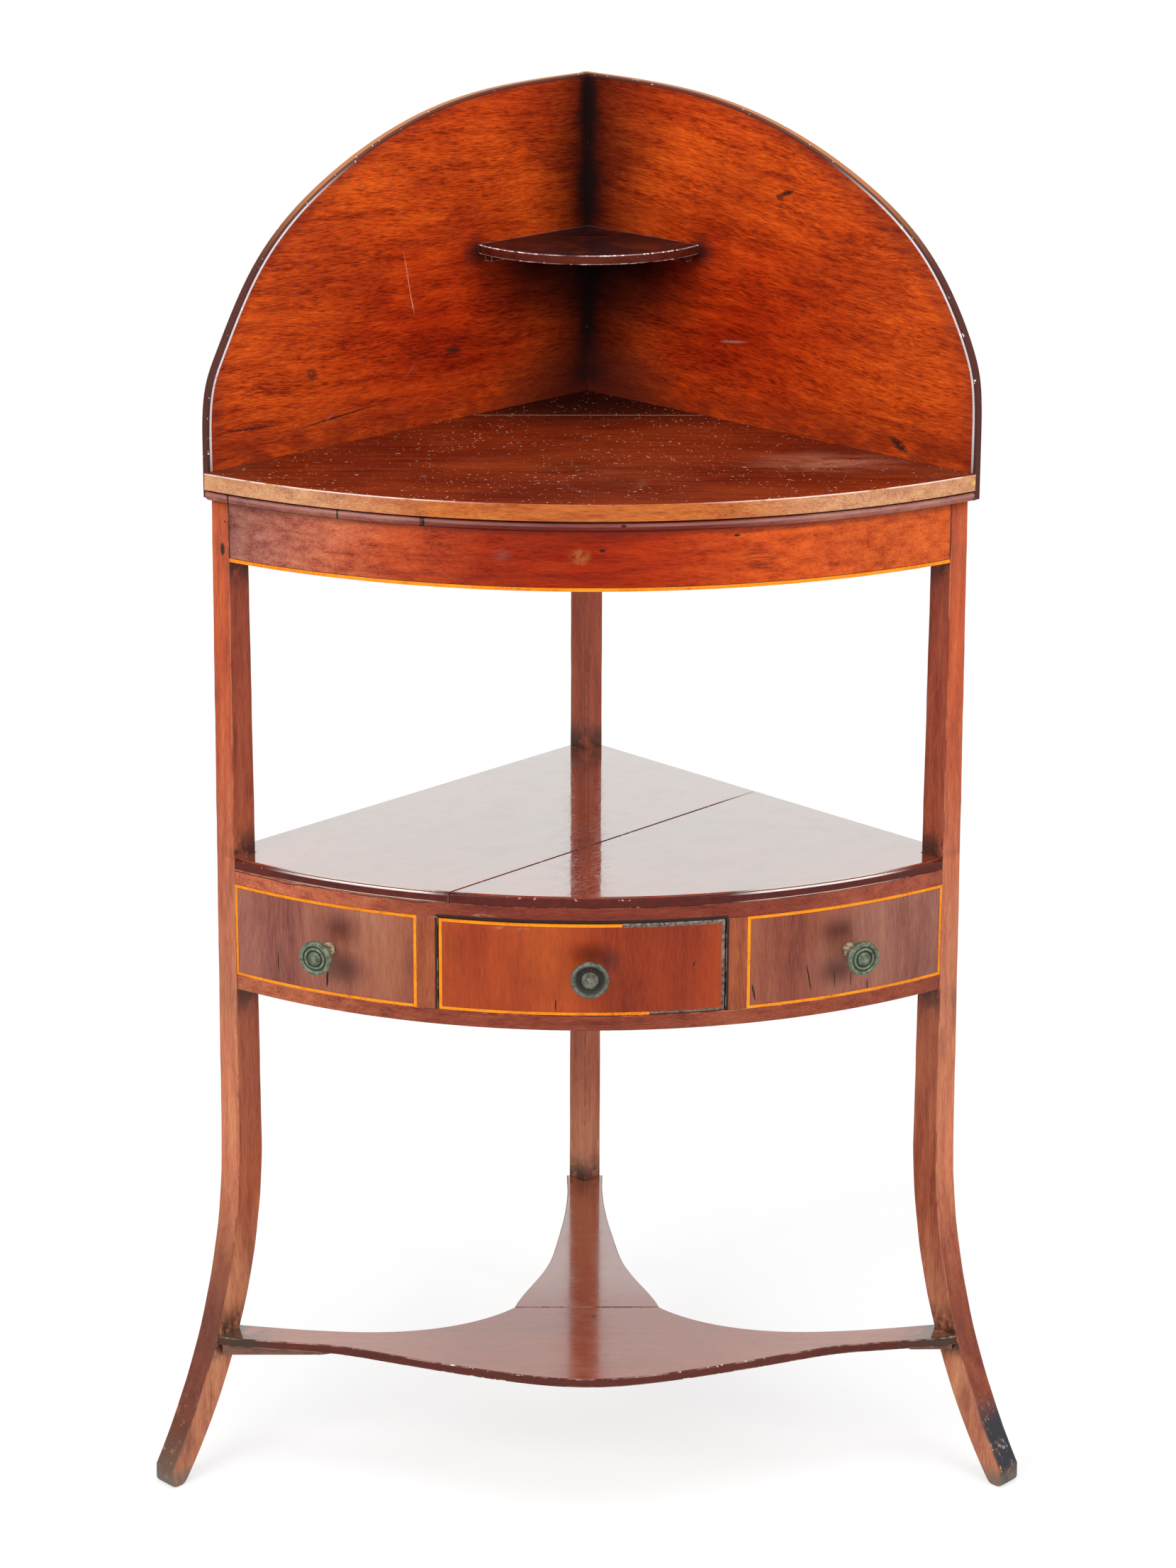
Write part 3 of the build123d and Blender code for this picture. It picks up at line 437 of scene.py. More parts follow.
colour = (scar + hole_low + hole_high + knot * 0.8).between(0.2, 0.9).mix(
    colour, (0.02, 0.008, 0.007)
)
sheen = place.sheen((25, 25, 12), 0.24) + right_toe * 0.2
close_finish(
    place, colour, sheen, relief - chipped * 4 - scar * 3, shine=0.2,
    coat=lower * 0.10 + rubbed * 0.2,
)

for name, hand in (("front_leg_left", -1), ("front_leg_right", 1)):
    shown(
        name + "_shaped", leg_mesh(name, front_leg_sections(), hand, 1.0), "stand",
        name, leg_finish,
    )
shown(
    "rear_leg_shaped", leg_mesh("rear_leg", rear_leg_sections(), 1, 0.15), "stand",
    "rear_leg", leg_finish,
)

# Drawer's tier: two bowed rails, two short uprights and two fixed fronts of mahogany between the
# legs, each front lined with a glued-in boxwood string. Behind them stand plain backs along the
# walls, with the runners, guides and kickers that the drawer slides on and rubbed glue blocks.
drawer_centre = 98.12 * mm
drawer_radius = 488.82 * mm
front_low = 428.6 * mm
front_high = 505.4 * mm
string_width = 2.4 * mm
# Width of the painted shade line along each string's inner edge.
string_shade_width = 0.7 * mm
gap_black = (0.012, 0.006, 0.005)
front_coat = 0.04


def eased(node, body, finish, width, segments=2, smallest=3 * mm, flat=(0, 0, 1)):
    """A copy of a CAD piece with its sharp arrises rounded, as scraping and wear leave them."""
    form = bmesh.new()
    form.from_mesh(nodes[node].data)
    bmesh.ops.remove_doubles(form, verts=form.verts, dist=0.002 * mm)
    bmesh.ops.dissolve_limit(
        form, angle_limit=math.radians(0.3), verts=form.verts, edges=form.edges
    )
    weight = form.edges.layers.float.new("bevel_weight_edge")
    for edge in form.edges:
        if len(edge.link_faces) == 2 and edge.calc_length() > smallest:
            if edge.calc_face_angle_signed() > math.radians(25):
                edge[weight] = 1.0
    mesh = settled(node + "_eased", form, [
        ("BEVEL", {
            "limit_method": "WEIGHT", "width": width, "segments": segments, "material": 1,
            "use_clamp_overlap": False,
        }),
        ("WEIGHTED_NORMAL", {"keep_sharp": True}),
    ])
    worn = mesh.attributes.new("worn", "FLOAT", "FACE")
    edge = mesh.attributes.new("edge", "FLOAT", "FACE")
    for number, face in enumerate(mesh.polygons):
        worn.data[number].value = 1.0 if face.material_index == 1 else 0.0
        edge.data[number].value = 1.0 if abs(face.normal.dot(Vector(flat))) < 0.8 else 0.0
        face.material_index = 0
    return shown(node + "_worked", mesh, body, node, finish)


rail_finish, place, height, across, rubbed = new_finish("rail_mahogany", "Z", "X", "worn")
rail_tone = across.between(-0.08, -0.27).mix((0.19, 0.028, 0.012), (0.50, 0.12, 0.052))
rail_tone = across.between(0.12, 0.26).mix(rail_tone, (0.30, 0.06, 0.028))
low_rail_tone = across.between(-0.1, -0.24).mix((0.23, 0.042, 0.018), (0.40, 0.10, 0.04))
rail_tone = height.between(0.47, 0.44).mix(rail_tone, low_rail_tone)
colour, relief = mahogany(
    place, level_grain, rail_tone, shift=(0, 0, 0.13), sway=0.002, cloudy=0.25, pores=0.4
)
patch = (place * 60).noise(4.0, 0.65)
colour = (rubbed * patch.between(0.48, 0.6) * 0.6).mix(colour, (0.42, 0.18, 0.10))
colour = (rubbed * patch.between(0.5, 0.4) * 0.5).mix(colour, (0.05, 0.015, 0.01))
wander = (place * (28, 28, 0)).noise() * 0.006
seam = abs(height + wander - 0.5195).between(0.0008, 0.0002)
seam *= (place * (20, 20, 0)).noise(2.0, 0.5).between(0.45, 0.55)
seam *= across.between(-0.06, -0.11)
colour = (seam * 0.9).mix(colour, (0.03, 0.012, 0.009))
# Painted shade: the rails' faces round the drawer's opening are darkened, as in the recess there.
drawer_gap_shade = across.strip(-0.1215, -0.1195, 0.1075, 0.1095) * height.strip(0.45, 0.46, 0.5074, 0.5086)
colour = (drawer_gap_shade * 0.95).mix(colour, gap_black)
scraped = place.spot((-0.083, -0.39, 0.5095), (0.012, 0.2, 0.0017), soft=0.8)
scraped *= (place * (120, 120, 500)).noise().between(0.4, 0.6)
colour = (scraped * 0.7).mix(colour, (0.46, 0.22, 0.15))
close_finish(
    place, colour, place.sheen(30, 0.26), relief - seam * 5, shine=0.2,
    coat=(place * 20).noise(2.0, 0.5) * 0.1,
)
for name in ("upper_drawer_rail", "lower_drawer_rail"):
    eased(name, "stand", rail_finish, 0.7 * mm)

divider_finish, place, across, rubbed = new_finish("divider_mahogany", "X", "worn")
colour, relief = mahogany(place, upright_grain, (0.28, 0.062, 0.022), sway=0.002)
# Painted shade: the dividers' faces beside the drawer's opening are darkened, as in the recess
# there.
drawer_gap_shade = across.strip(-0.1219, -0.1208, -0.105, -0.1) + across.strip(0.10, 0.105, 0.1088, 0.1099)
colour = (drawer_gap_shade * 0.95).mix(colour, gap_black)
colour = (rubbed * (place * 110).noise().between(0.5, 0.6)).mix(
    colour, (0.40, 0.26, 0.19)
)
close_finish(
    place, colour, place.sheen(30, 0.26), relief, shine=0.2,
    coat=(place * 20).noise(2.0, 0.5) * 0.1,
)
for name in ("divider_left", "divider_right"):
    eased(name, "stand", divider_finish, 0.3 * mm)


def front_finish(name, tones, low, high, left, right, knob_shadows, cracks):
    """Finish of a lined front: soft upright figure, painted shadows of its knob, short cracks."""
    finish, place, height, across = new_finish(name, "Z", "X")
    haze = (place * (9, 9, 14)).noise(2.0, 0.5)
    drift = (across - left) * (1 / (right - left)) + (haze - 0.5) * 0.9
    middle = drift.between(0.1, 0.9).mix(*tones)
    colour, relief = mahogany(
        place, upright_grain, middle, shift=(left, 0, 0), sway=0.008, cloudy=0.58,
        ribbony=0.18, pores=0.15, strength=1.0,
    )
    # Painted shade: a dark line along each string's inner edge, where string and front meet.
    by_string = 0.0
    for run, start, end in ((height, low, high), (across, left, right)):
        reach = (end - start) / 2 - string_width
        line = abs(run - (start + end) / 2).between(reach - string_shade_width, reach)
        by_string += line
    colour = (by_string.between(0.0, 1.0) * 0.8).mix(colour, colour * 0.4)
    grime = (place * (22, 22, 16)).noise()
    # Painted shadows of the knob: soft dark ovals beside it.
    for x, z, wide, tall in knob_shadows:
        smudge = place.spot((x, -0.36, z), (wide * 1.2, 0.2, tall * 1.2), soft=1.0)
        colour = (smudge * (grime * 0.6 + 0.4)).mix(colour, (0.07, 0.015, 0.012))
    colour = (grime.between(0.54, 0.76) * 0.35).mix(colour, colour * 0.4)
    split = 0.0
    for x, z, length, wide, lean in cracks:
        wander = (place * (0, 0, 120)).noise(2.0, 0.5) * 0.002 - 0.001
        line = place + wander * (1, 0, 0)
        split += line.spot((x, -0.36, z), (wide, 0.2, length / 2), (0, lean, 0), soft=0.6)
    split = split.between(0.1, 0.8)
    colour = split.mix(colour, (0.012, 0.005, 0.004))
    sheen = (place * 26).noise() * 0.18 + 0.24
    return finish, place, colour, sheen, relief - split * 6


# Each fixed front lists two painted shadows of its knob, beside the knob above and below it.
for node, tones, left, right, knob_shadows, cracks in (
    (
        "fixed_front_left", ((0.33, 0.118, 0.080), (0.29, 0.085, 0.045)), -0.28395, -0.136,
        ((-0.196, 0.487, 0.019, 0.017), (-0.192, 0.453, 0.021, 0.017)),
        ((-0.248, 0.448, 0.026, 0.0005, 0.02), (-0.2078, 0.442, 0.02, 0.0011, 0.05)),
    ),
    (
        "fixed_front_right", ((0.27, 0.074, 0.040), (0.29, 0.110, 0.075)), 0.124, 0.28395,
        ((0.195, 0.486, 0.018, 0.014), (0.196, 0.450, 0.02, 0.014)),
        (
            (0.1295, 0.4415, 0.02, 0.0009, -0.2), (0.1737, 0.4488, 0.03, 0.0007, -0.17),
            (0.1946, 0.4446, 0.02, 0.0004, -0.05), (0.208, 0.4423, 0.018, 0.0004, 0.04),
            (0.2218, 0.4345, 0.012, 0.0006, 0.0),
        ),
    ),
):
    finish, place, colour, sheen, relief = front_finish(
        node + "_mahogany", tones, front_low, front_high, left, right, knob_shadows, cracks
    )
    close_finish(place, colour, sheen, relief, shine=0.2, coat=front_coat)
    eased(node, "stand", finish, 0.2 * mm)

string_finish, place = new_finish("boxwood")
tone = (place * (30, 60, 60)).noise() * 0.6 + (place * 420).noise(2.0, 0.5) * 0.4
colour = tone.ramp((
    (0.30, (0.33, 0.07, 0.006)), (0.40, (0.72, 0.19, 0.008)), (0.5, (0.84, 0.245, 0.007)),
    (0.66, (0.92, 0.32, 0.012)),
))
close_finish(place, colour, tone * 0.2 + 0.3, tone, shine=0.15)


def dress(node_names, finish):
    """Give CAD pieces that keep their own shape this finish."""
    for node in node_names:
        for slot in nodes[node].material_slots:
            slot.material = finish


dress(("string_left", "string_right", "drawer_string"), string_finish)


def inner_finish(name, turn):
    """Finish of the unpolished wood inside, with its grain along the turned X."""
    finish, place = new_finish(name)
    straight = place.laid((0, 0, 0), turn)
    sway = (straight * (6, 18, 18)).noise(2.0, 0.5, "Color")
    grain = straight + (sway - 0.5) * (0, 0.02, 0.02)
    ring = (grain * (7, 210, 210)).noise(3.0, 0.55)
    saw = (grain * (420, 40, 40)).noise(2.0, 0.5)
    stain = (place * 24).noise(4.0, 0.65)
    tone = ring * 0.6 + stain * 0.4
    colour = tone.ramp((
        (0.36, (0.11, 0.045, 0.018)), (0.5, (0.24, 0.115, 0.047)), (0.64, (0.36, 0.20, 0.09)),
    ))
    close_finish(
        place, colour, stain * 0.2 + 0.62, ring * 0.6 + saw * 0.5, shine=0.25, depth=0.12 * mm
    )
    return finish


inner_right = inner_finish("inner_wood_right_wall", (0, 0, -math.pi / 4))
inner_left = inner_finish("inner_wood_left_wall", (0, 0, math.pi / 4))
inner_deep = inner_finish("inner_wood_front_to_back", (0, 0, math.pi / 2))
dress(("case_back_left",), inner_left)
dress(
    ("case_back_right", "case_glue_blocks", "drawer_stop_left", "drawer_stop_right"), inner_right
)
for name in ("drawer_runner", "drawer_guide", "drawer_kicker"):
    dress((name + "_left", name + "_right"), inner_deep)

# Drawer: a bowed mahogany front lap-dovetailed to thin sides, a back dovetailed between them and
# a bottom in grooves. The boxwood string is lost at the right, where the groove shows old glue.
drawer_low = 429 * mm
drawer_high = 504.6 * mm
drawer_left = -118.2 * mm
drawer_right = 106.2 * mm
glue_spread = 0.4 * mm
# The drawer front's two painted shadows of its knob lie above and right of it.
finish, place, colour, sheen, relief = front_finish(
    "drawer_front_mahogany", ((0.345, 0.045, 0.007), (0.285, 0.033, 0.005)), drawer_low,
    drawer_high, drawer_left, drawer_right,
    ((0.001, 0.480, 0.022, 0.012), (0.016, 0.474, 0.012, 0.012)),
    ((-0.0265, 0.4375, 0.014, 0.0007, 0.0), (0.0817, 0.4694, 0.007, 0.0006, 0.3)),
)
across = place.part("X")
height = place.part("Z")
scraped = place.spot((-0.061, -0.36, 0.4995), (0.02, 0.2, 0.003), soft=0.8)
scraped *= (place * (160, 160, 260)).noise().between(0.48, 0.6)
colour = (scraped * 0.6).mix(colour, (0.52, 0.30, 0.22))
end_groove = across.between(drawer_right - string_width - glue_spread, drawer_right - string_width)
upper_groove = height.between(drawer_high - string_width - glue_spread, drawer_high - string_width)
lower_groove = height.between(drawer_low + string_width + glue_spread, drawer_low + string_width)
upper_groove *= across.between(0.025, 0.0262)
lower_groove *= across.between(0.0466, 0.0478)
bare = (end_groove + upper_groove + lower_groove).between(0.0, 1.0)
crumbs = (place * 330).noise(4.0, 0.7)
bare_wood = crumbs.between(0.36, 0.64).mix((0.10, 0.065, 0.05), (0.38, 0.29, 0.235))
colour = bare.mix(colour, bare_wood)
close_finish(
    place, colour, sheen + bare * 0.4, relief + bare * crumbs * 6, shine=0.2, coat=front_coat
)
eased("drawer_front", "drawer", finish, 0.2 * mm)
inner_across = inner_finish("inner_wood_across", level_grain)
dress(("drawer_side_left", "drawer_side_right"), inner_deep)
dress(("drawer_back", "drawer_bottom"), inner_across)

# Knobs: three cast brass knobs gone dark green-brown, each a waisted neck under a rolled rim, with
# a small flower on its face. The side pair has a milled rim and a radial flower, the middle one a
# milled ring inside a plain rim and a twisted flower. A square steel nut holds each by its stem.
knob_level = 467 * mm
knob_reach = 27 * mm
knob_spread = 206.5 * mm
side_radius = 14 * mm
middle_radius = 15.2 * mm
knob_steps = 96
rim_rows = 4
hollow_top = 0.895
hollow_depth = 0.04

# An outline runs from the stem to the boss in shares of the knob's radius and of its reach. A ring
# on the face has a count, the same two shares, the size of one bead in millimetres and its twist.
knob_neck = (
    (0.47, 0.0), (0.475, 0.03), (0.46, 0.06), (0.38, 0.12), (0.325, 0.19), (0.31, 0.27),
    (0.32, 0.36), (0.345, 0.44), (0.39, 0.51), (0.46, 0.57), (0.58, 0.62), (0.74, 0.655),
)
side_face = (
    (0.88, 0.69), (0.965, 0.73), (1.0, 0.78), (0.995, 0.83), (0.965, 0.875), (0.93, 0.895),
    (0.9, 0.9), (0.85, 0.905), (0.78, 0.9), (0.74, 0.885), (0.715, 0.86), (0.69, 0.85),
    (0.665, 0.86), (0.645, 0.885), (0.62, 0.9), (0.57, 0.905), (0.52, 0.9), (0.495, 0.885),
    (0.475, 0.855), (0.445, 0.845), (0.42, 0.86), (0.4, 0.885), (0.36, 0.91), (0.28, 0.93),
    (0.18, 0.945), (0.08, 0.95), (0.02, 0.952),
)
middle_face = (
    (0.88, 0.69), (0.965, 0.73), (1.0, 0.78), (0.99, 0.84), (0.955, 0.885), (0.9, 0.91),
    (0.85, 0.905), (0.81, 0.885), (0.785, 0.875), (0.76, 0.865), (0.7, 0.84), (0.62, 0.815),
    (0.55, 0.8), (0.52, 0.8), (0.5, 0.82), (0.48, 0.85), (0.42, 0.885), (0.34, 0.91),
    (0.26, 0.925), (0.23, 0.925), (0.2, 0.92), (0.18, 0.935), (0.15, 0.95), (0.08, 0.958),
    (0.02, 0.96),
)
ring_sockets = {
    "count": "Int", "radius": "Float", "level": "Float", "size": "Vector", "twist": "Float",
}
side_rings = {
    "Rim": (58, 0.915, 0.893, (0.9, 0.45, 0.6), 0.0),
    "Petal": (20, 0.24, 0.935, (2.03, 0.434, 0.65), 0.0),
}
middle_rings = {
    "Rim": (62, 0.8, 0.878, (0.32, 0.5, 0.4), 0.0),
    "Petal": (18, 0.35, 0.905, (1.9, 0.6536, 0.7), 0.75),
}


def knob_tree():
    """Geometry Nodes that set a ring of beads on the rim and petals round the boss."""
    tree = bpy.data.node_groups.new("knob_ornament", "GeometryNodeTree")
    face = tree.interface
    face.new_socket("Turned knob", in_out="INPUT", socket_type="NodeSocketGeometry")
    for ring in side_rings:
        for label, kind in ring_sockets.items():
            face.new_socket(f"{ring} {label}", in_out="INPUT", socket_type="NodeSocket" + kind)
    face.new_socket("Knob", in_out="OUTPUT", socket_type="NodeSocketGeometry")
    given = tree.nodes.new("NodeGroupInput")
    knob = Wire(tree, given.outputs["Turned knob"])
    joined = tree.nodes.new("GeometryNodeJoinGeometry")
    tree.links.new(knob.socket, joined.inputs[0])
    for ring in side_rings:
        count, radius, level, size, twist = (
            Wire(tree, given.outputs[f"{ring} {label}"]) for label in ring_sockets
        )
        circle = knob.node(
            "GeometryNodeMeshCircle", {}, {"Vertices": count, "Radius": radius}, "Mesh"
        )
        bead = knob.node(
            "GeometryNodeMeshIcoSphere", {}, {"Radius": 1.0, "Subdivisions": 2}, "Mesh"
        )
        bead = knob.node("GeometryNodeSetShadeSmooth", {}, {"Geometry": bead}, "Geometry")
        facing = knob.node(
            "FunctionNodeAlignRotationToVector", {"axis": "X"},
            {"Vector": knob.node("GeometryNodeInputPosition", {}, {})}, "Rotation",
        )
        spin = knob.node(
            "FunctionNodeEulerToRotation", {},
            {0: knob.node("ShaderNodeCombineXYZ", {}, {"Z": twist})},
        )
        turned = knob.node(
            "FunctionNodeRotateRotation", {"rotation_space": "LOCAL"},
            {"Rotation": facing, "Rotate By": spin}, "Rotation",
        )
        spread = knob.node("GeometryNodeInstanceOnPoints", {}, {
            "Points": circle, "Instance": bead, "Rotation": turned, "Scale": size,
        }, "Instances")
        rise = knob.node("ShaderNodeCombineXYZ", {}, {"Z": level})
        lifted = knob.node(
            "GeometryNodeTransform", {}, {"Geometry": spread, "Translation": rise}, "Geometry"
        )
        tree.links.new(lifted.socket, joined.inputs[0])
    real = knob.node("GeometryNodeRealizeInstances", {}, {0: Wire(tree, joined.outputs[0])})
    knob.node("NodeGroupOutput", {}, {0: real}, None)
    return tree


def knob_finish(name, dark, middle, light):
    """Old cast brass: dark patina on the face, darker in its hollows, brown on the neck."""
    finish, place, neck, hollow = new_finish(name, "neck", "hollow")
    cloud = (place * 260).noise(4.0, 0.65)
    colour = cloud.ramp(((0.28, dark), (0.5, middle), (0.72, light)))
    colour = (hollow * 0.95).mix(colour, dark)
    brown = cloud.between(0.35, 0.65).mix((0.10, 0.065, 0.035), (0.42, 0.33, 0.22))
    colour = neck.mix(colour, brown)
    close_finish(
        place, colour, cloud * 0.3 + 0.28 + hollow * 0.2, cloud, shine=0.4, metal=0.35,
        depth=0.12 * mm,
    )
    return finish


ornament = knob_tree()
side_brass = knob_finish(
    "side_knob_brass", (0.032, 0.038, 0.026), (0.135, 0.162, 0.104), (0.25, 0.29, 0.20)
)
middle_brass = knob_finish(
    "middle_knob_brass", (0.024, 0.021, 0.015), (0.115, 0.112, 0.086), (0.25, 0.24, 0.185)
)
for node, body, knob_x, radius, brass, face_outline, bead_rings in (
    ("knob_left", "stand", -knob_spread, side_radius, side_brass, side_face, side_rings),
    ("knob_middle", "drawer", 0.0, middle_radius, middle_brass, middle_face, middle_rings),
    ("knob_right", "stand", knob_spread, side_radius, side_brass, side_face, side_rings),
):
    form = bmesh.new()
    neck = form.verts.layers.float.new("neck")
    hollow = form.verts.layers.float.new("hollow")
    rings = []
    for number, (share, reach) in enumerate(knob_neck + face_outline):
        ring = []
        for step in range(knob_steps):
            angle = 2 * math.pi * step / knob_steps
            vertex = form.verts.new((
                share * radius * math.cos(angle), share * radius * math.sin(angle),
                reach * knob_reach,
            ))
            vertex[neck] = 1.0 if number < len(knob_neck) else 0.0
            if number > len(knob_neck) + rim_rows:
                vertex[hollow] = min(1.0, max(0.0, (hollow_top - reach) / hollow_depth))
            ring.append(vertex)
        rings.append(ring)
    values = {}
    for ring, (count, share, reach, size, twist) in bead_rings.items():
        lengths = [length * mm for length in size]
        numbers = (count, share * radius, reach * knob_reach, lengths, twist)
        for label, value in zip(ring_sockets, numbers):
            values[f"{ring} {label}"] = value
    settings = {"node_group": ornament}
    for item in ornament.interface.items_tree:
        if item.name in values:
            settings[item.identifier] = values[item.name]
    mesh = skinned(node + "_cast", form, rings, [("NODES", settings)])
    turn = math.asin(knob_x / drawer_radius)
    front = drawer_centre - math.sqrt(drawer_radius**2 - knob_x**2)
    mesh.transform(Matrix((
        (math.cos(turn), 0, math.sin(turn), knob_x),
        (math.sin(turn), 0, -math.cos(turn), front),
        (0, 1, 0, knob_level),
        (0, 0, 0, 1),
    )))
    shown(node + "_cast", mesh, body, node, brass)

steel_finish, place = new_finish("fixing_steel")
rust = (place * 380).noise(4.0, 0.7)
colour = rust.between(0.4, 0.62).mix((0.11, 0.10, 0.095), (0.12, 0.055, 0.028))
close_finish(place, colour, rust * 0.4 + 0.3, rust, shine=0.5, metal=0.8, depth=0.1 * mm)
dress(("knob_nut_left", "knob_nut_middle", "knob_nut_right"), steel_finish)

# Mid shelf: two mahogany boards over the drawer's tier, glued edge to edge once and now parted,
# with a rounded front edge. French polish on it is thick enough to mirror the room behind.
shelf_finish, place, across, rubbed, edge = new_finish(
    "mid_shelf_mahogany", "X", "worn", "edge"
)
joint_turn = (0, 0, math.pi / 4)
shelf_tone = edge.mix((0.26, 0.030, 0.006), (0.082, 0.006, 0.002))
colour, relief = mahogany(place, joint_turn, shelf_tone, shift=(0, 0, 0.3), sway=0.012)
from_joint = abs(place.laid((0, corner_y, 0), (0, 0, -3 * math.pi / 4)).part("Y") + 200 * mm)
chips = from_joint.between(0.0034, 0.0010) * (place * 220).noise().between(0.50, 0.56)
colour = chips.mix(colour, (0.60, 0.48, 0.28))
dust = (place * 34).noise(5.0, 0.7)
haze = dust.between(0.42, 0.72)
colour = (haze * (1 - edge) * 0.2).mix(colour, (0.36, 0.28, 0.24))
specks = (place * 260).noise(2.0, 0.5).between(0.72, 0.75)
colour = (specks * (1 - edge) * 0.5).mix(colour, (0.10, 0.06, 0.05))
nicks = (place * 170).noise().between(0.65, 0.68) * rubbed
colour = nicks.mix(colour, (0.50, 0.30, 0.22))
ripple = (place * (26, 26, 26)).noise()
# Painted highlight: a pale line along the rubbed front arris, left and right of the middle.
shelf_arris_highlight = rubbed * abs(across).strip(0.105, 0.14, 0.22, 0.26)
parted = from_joint.between(0.0015, 0.0007)
colour = (parted * (1 - chips) * 0.9).mix(colour, (0.02, 0.010, 0.008))
polished = (1 - edge) * (1 - rubbed) * (1 - chips) * (1 - parted) + shelf_arris_highlight
colour = (shelf_arris_highlight * 0.7).mix(colour, (0.80, 0.70, 0.64))
close_finish(
    place, colour, haze * 0.10 + 0.08 + edge * 0.2, relief * 0.2 + ripple * 2.2 - chips * 5,
    shine=0.25, coat=polished * 0.55, coat_roughness=0.05, coat_bend=1.9,
    mirror=(polished * (0.57 - haze * 0.06), haze * 0.05 + 0.03),
)
for name in ("mid_shelf_left", "mid_shelf_right"):
    eased(name, "stand", shelf_finish, 0.9 * mm, segments=3)

# Lower shelf: a front board with two arms housed in the front legs, and a rear board that narrows
# to a tenon in the rear leg. A shaped cleat props the left arm and two thin strips pack the right.
low_finish, place, across, depth, rubbed, edge = new_finish(
    "lower_shelf_mahogany", "X", "Y", "worn", "edge"
)
low_tone = abs(across).between(0.08, 0.2).mix((0.29, 0.052, 0.020), (0.36, 0.11, 0.06))
low_tone = edge.mix(low_tone, (0.095, 0.016, 0.009))
colour, relief = mahogany(
    place, level_grain, low_tone, shift=(0, 0, 0.6), sway=0.006, cloudy=0.25, ribbony=0.3,
    strength=0.6,
)
grease = abs(across).between(0.24, 0.29) * (place * 50).noise(4.0, 0.65).between(0.34, 0.55)
colour = (grease * 0.85).mix(colour, (0.04, 0.032, 0.018))
joint_line = abs(depth + 0.2684).between(0.0009, 0.0003) * abs(across).between(0.066, 0.06)
hole = place.spot((0.0057, -0.2856, 0.12), (0.0022, 0.003, 0.01))
colour = (joint_line + hole).between(0.0, 1.0).mix(colour, (0.03, 0.012, 0.01))
scuff = (place * (55, 55, 55)).noise(5.0, 0.7).between(0.55, 0.7) * depth.between(-0.29, -0.2)
colour = (scuff * 0.35).mix(colour, (0.34, 0.2, 0.16))
dents = across.strip(-0.125, -0.11, -0.065, -0.05) + across.strip(0.07, 0.08, 0.135, 0.15)
nicks = (place * 190).noise().between(0.56, 0.6) * rubbed * (dents * 0.85 + 0.15)
# Painted highlight: pale streaks along the rubbed arrises.
glint = rubbed * (place * (40, 40, 1)).noise().between(0.45, 0.6)
colour = (rubbed * 0.5).mix(colour, colour * 0.45)
colour = (glint * 0.45).mix(colour, (0.55, 0.30, 0.24))
colour = nicks.mix(colour, (0.80, 0.70, 0.64))
haze = (place * 30).noise(4.0, 0.65).between(0.4, 0.75)
ripple = (place * 26).noise()
polished = (1 - edge) * (1 - rubbed * 0.7)
close_finish(
    place, colour, haze * 0.12 + 0.13 + edge * 0.15, relief * 0.3 + ripple * 1.6 - nicks * 6,
    shine=0.25, coat=polished * 0.6, coat_roughness=0.1, coat_bend=1.7,
    mirror=(polished * (depth.between(-0.28, -0.2) * 0.2 + 0.26), haze * 0.08 + 0.07),
)
for name in ("lower_shelf_front", "lower_shelf_rear"):
    eased(name, "stand", low_finish, 1.0 * mm, segments=3, smallest=1 * mm)
prop_finish, place = new_finish("arm_prop_mahogany")
colour, relief = mahogany(place, level_grain, (0.22, 0.10, 0.068), shift=(0, 0, 0.5), sway=0.004)
grime = (place * 60).noise(4.0, 0.65)
colour = (grime.between(0.5, 0.7) * 0.7).mix(colour, (0.05, 0.025, 0.018))
close_finish(place, colour, grime * 0.2 + 0.4, relief, shine=0.25)
for name in ("arm_cleat_left", "arm_packing_upper", "arm_packing_lower"):
    eased(name, "stand", prop_finish, 0.5 * mm)

# Frieze: a bowed mahogany rail shouldered to the front legs, with a boxwood string let into its
# lower edge. Two plain rails stand behind it along the walls, with glue blocks under the top.
frieze_low = 771.8 * mm
frieze_half = 0.3
string_height = 2.8 * mm
frieze_finish, place, height, across = new_finish("frieze_mahogany", "Z", "X")
# The frieze keeps its own deep red in the middle, with painted lamp reflections as paler orange
# bands left and right of it.
sweep = across + ((place * (7, 7, 24)).noise() - 0.5) * 0.05
frieze_tone_and_highlights = ((sweep + frieze_half) * (0.5 / frieze_half)).ramp((
    (0.03, (0.29, 0.11, 0.085)), (0.09, (0.40, 0.13, 0.085)), (0.17, (0.50, 0.125, 0.06)),
    (0.25, (0.47, 0.070, 0.020)), (0.36, (0.30, 0.024, 0.004)), (0.5, (0.29, 0.017, 0.002)),
    (0.6, (0.36, 0.028, 0.004)), (0.73, (0.54, 0.070, 0.010)), (0.9, (0.55, 0.086, 0.016)),
))
colour, relief = mahogany(
    place, level_grain, frieze_tone_and_highlights, shift=(0, 0, 0.05), sway=0.003, cloudy=0.2, ribbony=0.45,
    pores=0.3, strength=1.1,
)
edge_line = height.between(frieze_low + string_height + 1.0 * mm, frieze_low + string_height)
colour = (edge_line * 0.9).mix(colour, (0.03, 0.01, 0.006))
mottle = (place * (9, 9, 110)).noise(4.0, 0.6)
colour = (mottle.between(0.52, 0.70) * 0.45).mix(colour, (0.13, 0.012, 0.005))
streaky = place.spot((0.131, -0.367, 0.792), (0.022, 0.2, 0.012), (0, 0.35, 0), soft=0.8)
streaky *= (place * (30, 30, 420)).noise().between(0.45, 0.6)
colour = (streaky * 0.75).mix(colour, (0.09, 0.012, 0.007))
